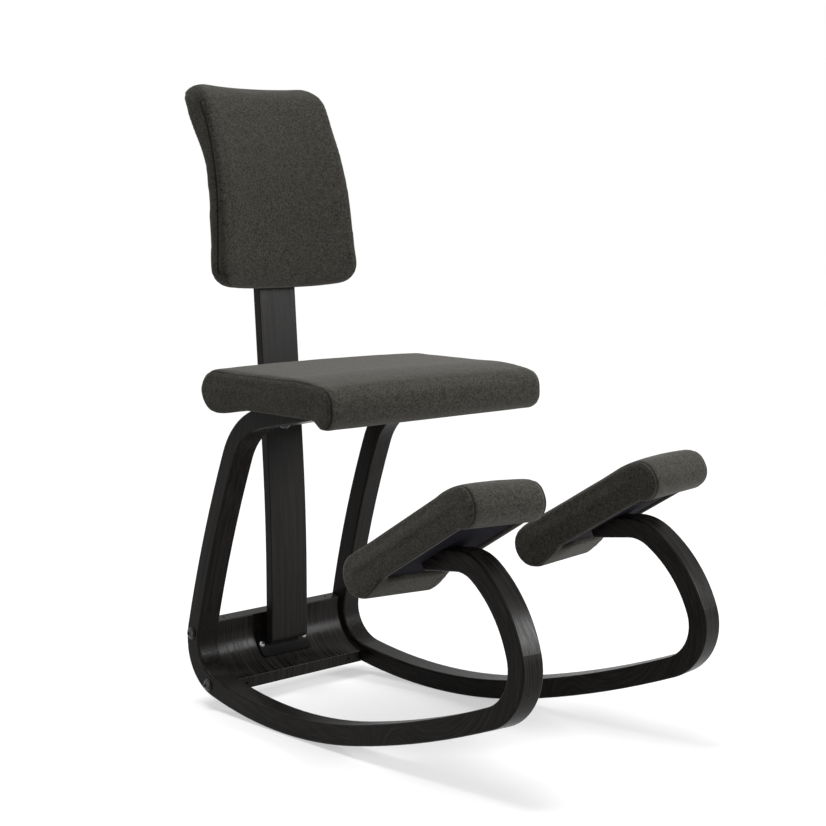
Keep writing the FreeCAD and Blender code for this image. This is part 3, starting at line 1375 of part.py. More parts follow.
side_bolts = list(side_bolt_frames.values())
seat_bolts = list(seat_bolt_frames.values())
THREAD = "bolt_dia / 2 + thread_clear"
SMALL_THREAD = "small_bolt_dia / 2 + thread_clear"
washer = ring("washer_master", "bolt_dia / 2 + hole_clear", "washer_dia / 2", "0", "washer_thick")
side_bolt = bolt("side_bolt_master", "bolt_dia", "side_bolt_len", "bolt_head_dia", "bolt_head_high", "bolt_socket")
group("panel_bolts", side_bolt, raised(side_bolts, size["washer_thick"]))
group("panel_washers", washer, side_bolts)
group("panel_barrel_nuts", barrel_nut(), [barrel_frame(*key) for key in side_bolt_frames])

seat_bolt = bolt("seat_bolt_master", "bolt_dia", "seat_bolt_len", "bolt_head_dia", "bolt_head_high", "bolt_socket")
group("seat_bolts", seat_bolt, raised(seat_bolts, size["washer_thick"]))
group("seat_washers", washer, seat_bolts)
seat_tee = tee_nut("seat_tee_master", THREAD, "tee_barrel_dia", "tee_barrel_len", "tee_flange_dia")
flange_height = size["board_high"] - size["tee_flange_thick"] - size["seat_spot"]
group("seat_tee_nuts", seat_tee,
      [frame * placed(0, 0, 0, DOWNWARDS) * placed(0, 0, flange_height) for frame in seat_bolts])

group("knee_screws", wood_screw("knee_screw_master", "screw_len"), list(knee_screw_frames.values()))
group("bracket_screws", wood_screw("saddle_screw_master", "saddle_screw_len"), list(saddle_screw_frames.values()))

foot_bolt = bolt("foot_bolt_master", "small_bolt_dia", "foot_bolt_len", "small_head_dia", "small_head_high",
                 "small_socket")
group("post_foot_bolts", foot_bolt, post_bolt_frames)
insert = ring("insert_master", SMALL_THREAD, "insert_dia / 2", "-insert_len", "0")
group("post_foot_inserts", insert, raised(post_bolt_frames, -size["bracket_thick"]))

small_washer = ring("small_washer_master", "small_bolt_dia / 2 + hole_clear", "small_washer_dia / 2", "0",
                    "small_washer_thick")
group("back_washers", small_washer, back_bolt_frames)
back_bolt = bolt("back_bolt_master", "small_bolt_dia", "back_bolt_len", "small_head_dia", "small_head_high",
                 "small_socket")
group("back_bolts", back_bolt, raised(back_bolt_frames, size["small_washer_thick"]))
back_tee = tee_nut("back_tee_master", SMALL_THREAD, "small_tee_barrel", "small_tee_len", "small_tee_flange")
back_flange = size["post_thick"] + size["back_cover"] + size["back_board_thick"] - size["tee_flange_thick"]
group("back_tee_nuts", back_tee,
      [frame * placed(0, 0, 0, DOWNWARDS) * placed(0, 0, back_flange) for frame in back_bolt_frames])


# Every object is checked before a file is written.


def check_document():
    faults = []
    for thing in doc.Objects:
        if any(state in ("Invalid", "Error") for state in thing.State):
            faults.append("%s is %s" % (thing.Name, thing.State))
    for thing in nodes:
        if thing.Shape.isNull() or not thing.Shape.isValid() or not thing.Shape.Solids:
            faults.append("%s has no valid solid" % thing.Label)
    if faults:
        raise RuntimeError("; ".join(faults))


doc.recompute()
check_document()
os.makedirs("parts", exist_ok=True)
for thing in nodes:
    thing.Shape.exportStep("parts/%s.step" % thing.Label)
print("%d nodes" % len(nodes))
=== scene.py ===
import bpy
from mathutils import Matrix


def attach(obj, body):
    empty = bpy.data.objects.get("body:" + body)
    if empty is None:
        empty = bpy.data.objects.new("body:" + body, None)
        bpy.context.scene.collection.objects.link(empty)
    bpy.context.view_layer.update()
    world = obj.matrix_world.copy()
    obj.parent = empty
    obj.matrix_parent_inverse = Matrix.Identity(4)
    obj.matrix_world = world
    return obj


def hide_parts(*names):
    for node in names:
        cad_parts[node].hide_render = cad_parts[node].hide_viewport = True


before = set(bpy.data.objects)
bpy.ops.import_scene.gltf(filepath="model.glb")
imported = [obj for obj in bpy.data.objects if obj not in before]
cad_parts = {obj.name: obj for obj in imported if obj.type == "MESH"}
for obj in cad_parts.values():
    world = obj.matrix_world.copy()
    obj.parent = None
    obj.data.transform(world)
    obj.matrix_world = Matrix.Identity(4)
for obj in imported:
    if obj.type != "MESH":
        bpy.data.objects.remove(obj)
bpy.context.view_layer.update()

import math

import bmesh
import bpy
from mathutils import Matrix, Vector

bl_info = {
    "name": "Kneeling chair",
    "version": (1, 0, 0),
    "blender": (4, 5, 0),
    "location": "3D View > Sidebar > Kneeling chair",
    "description": "Cushions, finishes and stage of a kneeling chair with backrest on two rockers",
    "category": "Object",
}

BODY = "root"
PREFIX = "chair_"
MM = 0.001

# Where the pads lie, with angles in degrees. Each pad is shaped level, with X across and Y to the
# rear, and then put in its place.

ORIGIN_BACK = 25.75 * MM
RUNNER_LIFT = 0.547 * MM
RUNNER_HALF_SPACING = 172.8 * MM
RUNNER_SPLAY = 3.38
RUNNER_CANT = 2.03
SEAT_AT = Vector((0, 118.0, 464.5)) * MM
SEAT_TILT = 1.0
KNEE_AT = Vector((0, -200.3, 304.3)) * MM
KNEE_TILT = -30.6
BACK_AT = Vector((0, 333.33, 628.0)) * MM
BACK_LEAN = -3.95


def turned(axis, degrees):
    return Matrix.Rotation(math.radians(degrees), 4, axis)


def seat_place():
    spot = Matrix.Translation(SEAT_AT + Vector((0, -ORIGIN_BACK, RUNNER_LIFT)))
    return spot @ turned("X", SEAT_TILT)


def knee_place(side):
    runner = Matrix.Translation((side * RUNNER_HALF_SPACING, -ORIGIN_BACK, RUNNER_LIFT))
    lean = turned("Z", side * RUNNER_SPLAY) @ turned("Y", -side * RUNNER_CANT)
    return runner @ lean @ Matrix.Translation(KNEE_AT) @ turned("X", KNEE_TILT)


def back_place():
    spot = Matrix.Translation(BACK_AT + Vector((0, -ORIGIN_BACK, RUNNER_LIFT)))
    return spot @ turned("X", BACK_LEAN)


# Sizes and colours that a user would change.


class ChairFinish(bpy.types.PropertyGroup):
    cloth_dark: bpy.props.FloatVectorProperty(
        name="Cloth, dark fibres", description="Darker of the two wools mixed in the cover cloth",
        default=(0.0110, 0.0104, 0.0090), subtype="COLOR", min=0.0, max=1.0)
    cloth_light: bpy.props.FloatVectorProperty(
        name="Cloth, light fibres", description="Lighter of the two wools mixed in the cover cloth",
        default=(0.057, 0.0535, 0.0450), subtype="COLOR", min=0.0, max=1.0)
    liner: bpy.props.FloatVectorProperty(
        name="Liner cloth", description="Cloth that closes the pads' undersides",
        default=(0.0105, 0.0096, 0.0140), subtype="COLOR", min=0.0, max=1.0)
    stain: bpy.props.FloatVectorProperty(
        name="Wood stain", description="Black stain of the bent wood",
        default=(0.0046, 0.0038, 0.0033), subtype="COLOR", min=0.0, max=1.0)
    grain: bpy.props.FloatVectorProperty(
        name="Wood grain", description="Lighter lines of the grain under the stain",
        default=(0.016, 0.0140, 0.0128), subtype="COLOR", min=0.0, max=1.0)
    steel: bpy.props.FloatVectorProperty(
        name="Painted steel", description="Black paint of the post's bracket",
        default=(0.004, 0.004, 0.004), subtype="COLOR", min=0.0, max=1.0)


class ChairPadding(bpy.types.PropertyGroup):
    pressure: bpy.props.FloatProperty(
        name="Stuffing pressure", description="Pressure that swells the pads",
        default=4.0, min=0.0, max=20.0)
    swell: bpy.props.FloatProperty(
        name="Most swelling", description="How far the stuffing may move a point of the cover",
        default=3.0 * MM, unit="LENGTH", min=0.0, max=0.03)
    loft: bpy.props.FloatProperty(
        name="Cover's loft", description="How far the cover stands proud of the padding",
        default=1.8 * MM, unit="LENGTH", min=0.0, max=0.01)
    seam_depth: bpy.props.FloatProperty(
        name="Seam depth", description="How deep a seam draws the cover in",
        default=1.3 * MM, unit="LENGTH", min=0.0, max=0.005)


# Meshes.

WELD = 0.01 * MM
EASING = 0.5
CLOTH_QUALITY = 5
CLOTH_FRAMES = 20
EVENING_ROUNDS = 10
DRAWN_IN = 0.3 * MM
SWELL_SHARE = 0.7


def mesh_object(name, bm):
    mesh = bpy.data.meshes.new(name)
    bm.to_mesh(mesh)
    bm.free()
    piece = bpy.data.objects.new(name, mesh)
    bpy.context.scene.collection.objects.link(piece)
    return piece


def finished_mesh(piece):
    """The piece's mesh with its modifiers applied."""
    depsgraph = bpy.context.evaluated_depsgraph_get()
    mesh = bpy.data.meshes.new_from_object(piece.evaluated_get(depsgraph), depsgraph=depsgraph)
    old = piece.data
    piece.modifiers.clear()
    piece.data = mesh
    bpy.data.meshes.remove(old)
    return piece


def copied_pad(name, node, place):
    """The pad's own solid, laid level."""
    bm = bmesh.new()
    bm.from_mesh(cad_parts[node].data)
    bmesh.ops.remove_doubles(bm, verts=bm.verts, dist=WELD)
    bmesh.ops.transform(bm, matrix=place.inverted(), verts=bm.verts)
    return mesh_object(name, bm)


def remeshed(piece, voxel):
    """The piece with an even mesh, fine enough for its folds."""
    change = piece.modifiers.new("voxels", "REMESH")
    change.mode = "VOXEL"
    change.voxel_size = voxel
    return finished_mesh(piece)


def eased_cover(piece):
    """Takes the steps out of the remeshed surface."""
    bm = bmesh.new()
    bm.from_mesh(piece.data)
    bmesh.ops.smooth_vert(bm, verts=bm.verts, factor=EASING,
                          use_axis_x=True, use_axis_y=True, use_axis_z=True)
    bm.to_mesh(piece.data)
    bm.free()
    return piece


def moved_cover(piece, step):
    """Moves each point of the cover by what step says of its place and its outward direction."""
    mesh = piece.data
    normals = [vertex.normal.copy() for vertex in mesh.vertices]
    for vertex, normal in zip(mesh.vertices, normals):
        vertex.co = vertex.co + step(vertex.co, normal)
    mesh.update()


def evened(values, piece, rounds):
    """Values of the mesh's points, each drawn towards its neighbours."""
    ends = [tuple(edge.vertices) for edge in piece.data.edges]
    for _ in range(rounds):
        total = list(values)
        count = [1] * len(values)
        for first, second in ends:
            total[first] += values[second]
            total[second] += values[first]
            count[first] += 1
            count[second] += 1
        values = [value / number for value, number in zip(total, count)]
    return values


def stuffed(piece, padding):
    """How far each point of the cover moves outwards when the pad is stuffed."""
    start = [vertex.co.copy() for vertex in piece.data.vertices]
    normals = [vertex.normal.copy() for vertex in piece.data.vertices]
    trial = piece.copy()
    trial.data = piece.data.copy()
    bpy.context.scene.collection.objects.link(trial)
    cloth = trial.modifiers.new("stuffing", "CLOTH")
    cloth.settings.use_pressure = True
    cloth.settings.uniform_pressure_force = padding.pressure
    cloth.settings.effector_weights.gravity = 0.0
    cloth.settings.quality = CLOTH_QUALITY
    scene = bpy.context.scene
    for number in range(1, CLOTH_FRAMES + 1):
        scene.frame_set(number)
    finished_mesh(trial)
    scene.frame_set(1)
    mesh = trial.data
    moves = [(vertex.co - spot).dot(normal)
             for vertex, spot, normal in zip(mesh.vertices, start, normals)]
    bpy.data.objects.remove(trial)
    bpy.data.meshes.remove(mesh)
    return moves


def swollen(piece, free, padding):
    """Stuffs the pad. Its cover stands proud by the loft and a share of the swelling.

    free says how far a point may move, from 0 where the cover is held to 1."""
    moves = [0.0] * len(piece.data.vertices)
    capped = [min(padding.swell, max(-padding.swell, move)) for move in stuffed(piece, padding)]
    moves = evened(capped, piece, EVENING_ROUNDS)
    shares = [free(vertex.co) for vertex in piece.data.vertices]
    normals = [vertex.normal.copy() for vertex in piece.data.vertices]
    for vertex, normal, move, share in zip(piece.data.vertices, normals, moves, shares):
        outwards = padding.loft + min(padding.swell, max(-DRAWN_IN, move * SWELL_SHARE))
        vertex.co = vertex.co + normal * outwards * share
    piece.data.update()


def marked_seams(piece, gap):
    """Keeps each point's distance from the seam, for the cloth's painted shade line at the seam."""
    layer = piece.data.attributes.new("seam_gap", "FLOAT", "POINT")
    for spot, vertex in zip(layer.data, piece.data.vertices):
        spot.value = gap(vertex.co)


def sewn(piece, gap, depth, width):
    """Draws the cover in along the seam."""
    def draw_in(point, normal):
        away = gap(point) / width
        return normal * (-depth * math.exp(-away * away))
    moved_cover(piece, draw_in)


def subdivided(piece):
    change = piece.modifiers.new("smooth", "SUBSURF")
    change.levels = 1
    change.render_levels = 1
    return finished_mesh(piece)


def settled(piece, place, nodes, material):
    """Puts the pad in its place, shades it smooth, gives it its material, hangs it on the body and
    hides the CAD parts that it replaces.
    """
    bm = bmesh.new()
    bm.from_mesh(piece.data)
    bmesh.ops.transform(bm, matrix=place, verts=bm.verts)
    for face in bm.faces:
        face.smooth = True
    bm.to_mesh(piece.data)
    bm.free()
    piece.data.materials.clear()
    piece.data.materials.append(material)
    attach(piece, BODY)
    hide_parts(*nodes)


# Shader sums. A Term stands for a socket, and Python's operators add its Math nodes.


class Term:
    """A value that a node gives out."""

    def __init__(self, tree, socket):
        self.tree = tree
        self.socket = socket

    def sum_with(self, operation, first, second):
        return self.tree.node("ShaderNodeMath", {"operation": operation}, {0: first, 1: second})

    def __add__(self, other):
        return self.sum_with("ADD", self, other)

    def __radd__(self, other):
        return self.sum_with("ADD", other, self)

    def __sub__(self, other):
        return self.sum_with("SUBTRACT", self, other)

    def __rsub__(self, other):
        return self.sum_with("SUBTRACT", other, self)

    def __mul__(self, other):
        return self.sum_with("MULTIPLY", self, other)

    def __rmul__(self, other):
        return self.sum_with("MULTIPLY", other, self)

    def __truediv__(self, other):
        return self.sum_with("DIVIDE", self, other)

    def __abs__(self):
        return self.sum_with("ABSOLUTE", self, 0.0)


class Finish:
    """A material under construction."""

    def __init__(self, name):
        self.material = bpy.data.materials.new(PREFIX + name)
        self.material.use_nodes = True
        self.nodes = self.material.node_tree.nodes
        self.links = self.material.node_tree.links
        self.shader = self.nodes["Principled BSDF"]

    def node(self, kind, settings=None, sockets=None, output=0):
        made = self.nodes.new(kind)
        for key, value in (settings or {}).items():
            setattr(made, key, value)
        for key, value in (sockets or {}).items():
            self.feed(made.inputs[key], value)
        return Term(self, made.outputs[output])

    def feed(self, socket, value):
        if isinstance(value, Term):
            self.links.new(value.socket, socket)
        else:
            socket.default_value = value

    def set(self, **values):
        for key, value in values.items():
            self.feed(self.shader.inputs[key.replace("_", " ")], value)

    def place(self):
        return self.node("ShaderNodeTexCoord", output="Object")

    def stretched(self, scale, vector=None):
        sockets = {"Vector": vector or self.place(), "Scale": scale}
        return self.node("ShaderNodeMapping", None, sockets)

    def noise(self, vector, scale=1.0, detail=2.0, rough=0.5):
        sockets = {"Vector": vector, "Scale": scale, "Detail": detail, "Roughness": rough}
        return self.node("ShaderNodeTexNoise", None, sockets)

    def between(self, value, low, high):
        sockets = {"Value": value, "From Min": low, "From Max": high, "To Min": 0.0, "To Max": 1.0}
        return self.node("ShaderNodeMapRange", {"clamp": True}, sockets)

    def blend(self, share, first, second):
        made = self.nodes.new("ShaderNodeMix")
        made.data_type = "RGBA"
        self.feed(made.inputs["Factor"], share)
        self.feed(made.inputs[6], first)
        self.feed(made.inputs[7], second)
        return Term(self, made.outputs[2])

    def bump(self, height, distance, strength):
        sockets = {"Height": height, "Distance": distance, "Strength": strength}
        return self.node("ShaderNodeBump", None, sockets)


def opaque(colour, share=1.0):
    return tuple(channel * share for channel in colour) + (1.0,)


# Finishes.

# Pattern scales are in repeats per metre, along X, Y and Z where there are three. A range is where
# a pattern turns from its first colour to its second.

# The seam line is painted shade in the seam's crease: SEAM_HALF is its half width, and the constant
# after it sets how strongly that painted shade darkens the cloth.
SEAM_HALF = 1.1 * MM
SEAM_PAINTED_SHADE = 0.85
WARP = (620, 620, 240)
WEFT = (240, 240, 620)
WOOL_SPECKS = 380.0
WOOL_PATCHES = 110.0
WOOL_RANGE = (0.42, 0.58)
PATCH_RANGE = (0.35, 0.65)
SHEEN_TINT = (0.72, 0.70, 0.67, 1.0)
LINER_THREADS = (900, 900, 300)
THREAD_RANGE = (0.35, 0.65)

BENT_GRAIN = (420, 420, 8)
BENT_PORES = (900, 900, 45)
FLAT_GRAIN = (420, 9, 9)
FLAT_PORES = (900, 50, 50)
GRAIN_RANGE = (0.42, 0.62)
CLOUDS = 9.0
CLOUD_RANGE = (0.3, 0.7)
CLOUD_SHARE = 0.25
LOOP_MIDDLE = (0.20, 0.17)
LOOP_REACH = (0.19, 0.17)
LOOP_RANGE = (-0.16, -0.06)
ROCKER_BEND = 0.55
UPRIGHT_SLOPE = 0.28
UPRIGHT_RANGE = (0.08, 0.14)

PLY_LAYERS = (12, 12, 700)
PLY_FIGURE = (14, 160, 40)
PLY_RANGE = (0.35, 0.65)
PLY_DARK = (0.42, 0.27, 0.14, 1.0)
PLY_LIGHT = (0.62, 0.44, 0.26, 1.0)
PAINT_SPECKLE = 900.0
PLATING_MARKS = 420.0
METAL_RANGE = (0.3, 0.7)


def cover_cloth(name, finish, seams=True):
    """Mixed wool cloth: a fine plain weave, specks of two wools, and at each seam a painted shade
    line, darker than any fibre.
    """
    made = Finish(name)
    warp = made.noise(made.stretched(WARP), detail=3.0, rough=0.7)
    weft = made.noise(made.stretched(WEFT), detail=3.0, rough=0.7)
    specks = made.noise(made.place(), scale=WOOL_SPECKS, detail=3.0, rough=0.7)
    patches = made.noise(made.place(), scale=WOOL_PATCHES, detail=2.0)
    mixed = 0.3 * warp + 0.3 * weft + 0.4 * specks
    share = made.between(mixed, *WOOL_RANGE) * 0.85 + made.between(patches, *PATCH_RANGE) * 0.15
    colour = made.blend(share, opaque(finish.cloth_dark), opaque(finish.cloth_light))
    height = mixed
    if seams:
        gap = made.node("ShaderNodeAttribute", {"attribute_name": "seam_gap"}, output="Fac")
        # Painted shade: a thin band along the seam is darkened to stand for the shade in the seam's
        # crease, and the same band also sinks the bump there.
        line = 1 - made.between(abs(gap), SEAM_HALF, SEAM_HALF * 2)
        colour = made.blend(line * SEAM_PAINTED_SHADE, colour, opaque(finish.cloth_dark, 0.22))
        height = mixed - line
    made.set(Base_Color=colour, Roughness=0.92, Normal=made.bump(height, 0.35 * MM, 0.6),
             Sheen_Weight=0.2, Sheen_Roughness=0.5, Sheen_Tint=SHEEN_TINT, Specular_IOR_Level=0.04)
    return made.material


def liner_cloth(finish):
    """Smooth close-woven cloth."""
    made = Finish("liner_cloth")
    threads = made.noise(made.stretched(LINER_THREADS), detail=2.0)
    colour = made.blend(made.between(threads, *THREAD_RANGE),
                        opaque(finish.liner, 0.8), opaque(finish.liner, 1.35))
    made.set(Base_Color=colour, Roughness=0.85, Normal=made.bump(threads, 0.1 * MM, 0.4),
             Specular_IOR_Level=0.05)
    return made.material


def split(made):
    """The place's X, Y and Z."""
    axes = made.nodes.new("ShaderNodeSeparateXYZ")
    made.feed(axes.inputs[0], made.place())
    return [Term(made, socket) for socket in axes.outputs]


def along_runner(made, y, z):
    """A length that grows across the bent runner and stays the same along it."""
    ahead = (y + LOOP_MIDDLE[0]) / LOOP_REACH[0]
    above = (z - LOOP_MIDDLE[1]) / LOOP_REACH[1]
    round_loop = {0: ahead * ahead + above * above}
    loop = made.node("ShaderNodeMath", {"operation": "SQRT"}, round_loop) * LOOP_REACH[1]
    rocker = z - y * y * ROCKER_BEND
    upright = y + z * UPRIGHT_SLOPE
    rear = made.between(z, *UPRIGHT_RANGE)
    front = 1 - made.between(y, *LOOP_RANGE)
    behind = rocker * (1 - rear) + upright * rear
    return behind * (1 - front) + loop * front


def stained_wood(name, finish, rough, grain_share, gloss, bent=False):
    """Black-stained laminated wood. On bent pieces the grain follows the bends."""
    made = Finish(name)
    if bent:
        x, y, z = split(made)
        spot = made.node("ShaderNodeCombineXYZ", None, {0: x, 1: along_runner(made, y, z), 2: y})
        lines = made.noise(made.stretched(BENT_GRAIN, spot), detail=4.0, rough=0.6)
        pores = made.noise(made.stretched(BENT_PORES, spot))
    else:
        lines = made.noise(made.stretched(FLAT_GRAIN), detail=4.0, rough=0.6)
        pores = made.noise(made.stretched(FLAT_PORES))
    cloudy = made.noise(made.place(), scale=CLOUDS, detail=3.0)
    figure = made.between(lines, *GRAIN_RANGE)
    colour = made.blend(figure * grain_share, opaque(finish.stain), opaque(finish.grain))
    colour = made.blend(made.between(cloudy, *CLOUD_RANGE) * CLOUD_SHARE,
                        colour, opaque(finish.stain, 0.7))
    made.set(Base_Color=colour, Roughness=rough + 0.12 * (figure - 0.5),
             Normal=made.bump(0.6 * lines + 0.4 * pores, 0.14 * MM, 0.55),
             Specular_IOR_Level=gloss)
    return made.material


def plywood():
    """Bare birch-like plywood of the hidden boards."""
    made = Finish("board_plywood")
    layers = made.noise(made.stretched(PLY_LAYERS), detail=2.0)
    figure = made.noise(made.stretched(PLY_FIGURE), detail=4.0)
    share = made.between(0.5 * layers + 0.5 * figure, *PLY_RANGE)
    colour = made.blend(share, PLY_DARK, PLY_LIGHT)
    made.set(Base_Color=colour, Roughness=0.7, Normal=made.bump(figure, 0.1 * MM, 0.4))
    return made.material


def painted_steel(name, finish, rough):
    """Steel under black paint."""
    made = Finish(name)
    speckle = made.noise(made.place(), scale=PAINT_SPECKLE, detail=2.0)
    colour = made.blend(made.between(speckle, *METAL_RANGE),
                        opaque(finish.steel, 0.8), opaque(finish.steel, 1.3))
    made.set(Base_Color=colour, Roughness=rough + 0.1 * speckle,
             Normal=made.bump(speckle, 0.05 * MM, 0.4), Specular_IOR_Level=0.05)
    return made.material


def plated(name, colour, rough):
    """Plated or bare metal of the fasteners."""
    made = Finish(name)
    marks = made.noise(made.place(), scale=PLATING_MARKS, detail=3.0)
    shade = made.blend(made.between(marks, *METAL_RANGE), opaque(colour, 0.85), opaque(colour, 1.1))
    made.set(Base_Color=shade, Metallic=1.0, Roughness=rough + 0.15 * marks,
             Normal=made.bump(marks, 0.03 * MM, 0.3))
    return made.material


def painted(nodes, material):
    for node in nodes:
        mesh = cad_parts[node].data
        mesh.materials.clear()
        mesh.materials.append(material)


# Pads.

PAD_LENGTH = 277.0 * MM
HELD_BELOW = 15.0 * MM
HELD_RISE = 12.0 * MM
SEAT_HALF = 215.0 * MM
KNEE_HALF = 64.8 * MM
SIDE_SEAM_IN = 3.2 * MM
SEAM_WIDTH = 2.4 * MM
END_HELD = 36.0 * MM
END_RISE = 14.0 * MM
SIDE_HELD = 12.0 * MM
SIDE_RISE = 8.0 * MM
SIDE_SHARE = 0.6
SEAT_VOXEL = 4.0 * MM
KNEE_VOXEL = 3.0 * MM
BACK_VOXEL = 3.5 * MM
PAD_SLOT = "cushion_cloth"


def smooth_share(value):
    """Goes from 0 to 1 without a kink where the value does."""
    bounded = min(1.0, max(0.0, value))
    return bounded * bounded * (3 - 2 * bounded)


def side_seam(half):
    """Distance from the seams that join the two flat side panels to the cloth round the pad."""
    return lambda point: abs(point.x) - (half - SIDE_SEAM_IN)


def free_over_board(half):
    """The cover is held where it is folded round the board and free above it."""
    def share(point):
        above = smooth_share((point.z - HELD_BELOW) / HELD_RISE)
        outer = smooth_share((abs(point.y) - (PAD_LENGTH / 2 - END_HELD)) / END_RISE)
        side = smooth_share((abs(point.x) - (half - SIDE_HELD)) / SIDE_RISE)
        return max(above, outer, side * SIDE_SHARE)
    return share


PAD_TOP = 50.0 * MM
PAD_LOW = -8.0 * MM
RIM_TURN = 8.0 * MM
RIM_INSET = 4.0 * MM
RIM_FULL = 0.8


def full_rims(half):
    """The sewn rims stand out to the pad's full outline, with almost no rounding."""
    middle = (PAD_TOP + PAD_LOW) / 2

    def step(point, normal):
        inward = min(RIM_TURN, max(0.0, half - abs(point.x)))
        cosine = 1 - inward / RIM_TURN
        inset = RIM_FULL * RIM_INSET * (1 - math.sqrt(1 - cosine * cosine))
        length = point.y * (1 / (1 - inset / (PAD_LENGTH / 2)) - 1)
        height = (point.z - middle) * (1 / (1 - 2 * inset / (PAD_TOP - PAD_LOW)) - 1)
        return Vector((0, length, height))
    return step


def flat_sided_pad(name, node, place, half, voxel, materials, padding):
    """A seat or knee cushion, which has two flat side panels."""
    pad = eased_cover(remeshed(copied_pad(name, node, place), voxel))
    moved_cover(pad, full_rims(half))
    swollen(pad, free_over_board(half), padding)
    seam = side_seam(half)
    sewn(pad, seam, padding.seam_depth, SEAM_WIDTH)
    marked_seams(subdivided(pad), seam)
    settled(pad, place, [node], materials[PAD_SLOT])


BACK_HIGH = 306.5 * MM
BACK_HALF_LOW = 136.5 * MM
BACK_HALF_HIGH = 120.5 * MM
BACK_SAG = 11.0 * MM
BACK_FRONT = 26.5 * MM
FLARE_RADIUS = 410.0 * MM
FLARE_FROM = 108.0 * MM
BACK_SEAM_BEHIND = 9.0 * MM
NO_SEAM = 50.0 * MM
SEAM_SIDE, SEAM_SIDE_RISE = 22.0 * MM, 8.0 * MM
SEAM_TOP, SEAM_TOP_RISE = 26.0 * MM, 14.0 * MM
SEAM_FOOT, SEAM_FOOT_RISE = 24.0 * MM, 12.0 * MM
FRONT_RISE = 10.0 * MM
POST_HALF, POST_RISE = 44.0 * MM, 16.0 * MM
POST_TOP, POST_TOP_RISE = 190.0 * MM, 30.0 * MM
BOW_REACH = 90.0 * MM
BOW_CORNERS = 7.0 * MM
BOW_TOP = 5.0 * MM
BOW_DIP = 4.0 * MM


def back_half(up):
    return BACK_HALF_LOW + (BACK_HALF_HIGH - BACK_HALF_LOW) * up / BACK_HIGH


def back_front(across, up):
    """The backrest's front: bent round the sitter, and bent backwards in its upper part."""
    flare = max(0.0, up - FLARE_FROM)
    bend = FLARE_RADIUS - math.sqrt(FLARE_RADIUS ** 2 - flare * flare)
    return bend - BACK_FRONT - BACK_SAG * (across / back_half(up)) ** 2


def back_seam(point):
    """Distance from the seam along the front edge of each side panel."""
    behind = point.y - back_front(point.x, point.z) - BACK_SEAM_BEHIND
    near_side = smooth_share((abs(point.x) - (back_half(point.z) - SEAM_SIDE)) / SEAM_SIDE_RISE)
    near_top = smooth_share((point.z - (BACK_HIGH - SEAM_TOP)) / SEAM_TOP_RISE)
    near_foot = smooth_share((SEAM_FOOT - point.z) / SEAM_FOOT_RISE)
    return behind + NO_SEAM * (1 - near_side) + NO_SEAM * near_top + NO_SEAM * near_foot


def free_back(point):
    """The backrest's cover is held where the post lies in it."""
    behind = point.y - back_front(point.x, point.z)
    in_front = smooth_share((BACK_FRONT - behind) / FRONT_RISE)
    beside = smooth_share((abs(point.x) - POST_HALF) / POST_RISE)
    above = smooth_share((point.z - POST_TOP) / POST_TOP_RISE)
    return max(in_front, beside, above)


def bowed(point, normal):
    """Lower corners drawn up and the top dipped in the middle, as the cover's pull shapes them."""
    across = abs(point.x) / back_half(point.z)
    low = smooth_share((BOW_REACH - point.z) / BOW_REACH)
    high = smooth_share((point.z - (BACK_HIGH - BOW_REACH)) / BOW_REACH)
    rise = BOW_CORNERS * low * across ** 3 + BOW_TOP * high
    fall = BOW_DIP * high * (1 - across ** 2)
    return Vector((0, 0, rise - fall))


def backrest_pad(materials, padding):
    """The backrest's cushion, bent round the sitter."""
    place = back_place()
    pad = copied_pad("backrest_cushion", "back_cushion", place)
    eased_cover(remeshed(pad, BACK_VOXEL))
    swollen(pad, free_back, padding)
    moved_cover(pad, bowed)
    sewn(pad, back_seam, padding.seam_depth, SEAM_WIDTH)
    marked_seams(subdivided(pad), back_seam)
    settled(pad, place, ["back_cushion"], materials[PAD_SLOT])


# Operators.

LENS = 79.86
SENSOR = 36.0
NEAREST, FARTHEST = 0.05, 60.0
CAMERA_AT = (-1.8649, -1.84805, 0.75545)
CAMERA_DOWN = 6.488
CAMERA_TURN = -45.10

# The CAD nodes that take each finish.

SLOTS = {
    "runner_wood": ["runner_right", "runner_left"],
    "panel_wood": ["cross_panel"],
    "post_wood": ["back_post"],
    "board_plywood": ["seat_board", "knee_board_right", "knee_board_left", "back_board"],
    "liner_cloth": ["seat_liner", "knee_liner_right", "knee_liner_left"],
    "cushion_cloth": ["seat_cushion", "knee_cushion_right", "knee_cushion_left", "back_cushion"],
    "tab_cloth": ["seam_tab"],
    "black_steel": ["post_bracket"],
    "black_steel_fastener": ["panel_bolts", "panel_washers", "seat_bolts", "seat_washers",
                             "back_bolts", "back_washers", "post_foot_bolts"],
    "zinc_fastener": ["bracket_screws", "knee_screws", "panel_barrel_nuts", "seat_tee_nuts",
                      "back_tee_nuts"],
    "brass_insert": ["post_foot_inserts"],
}


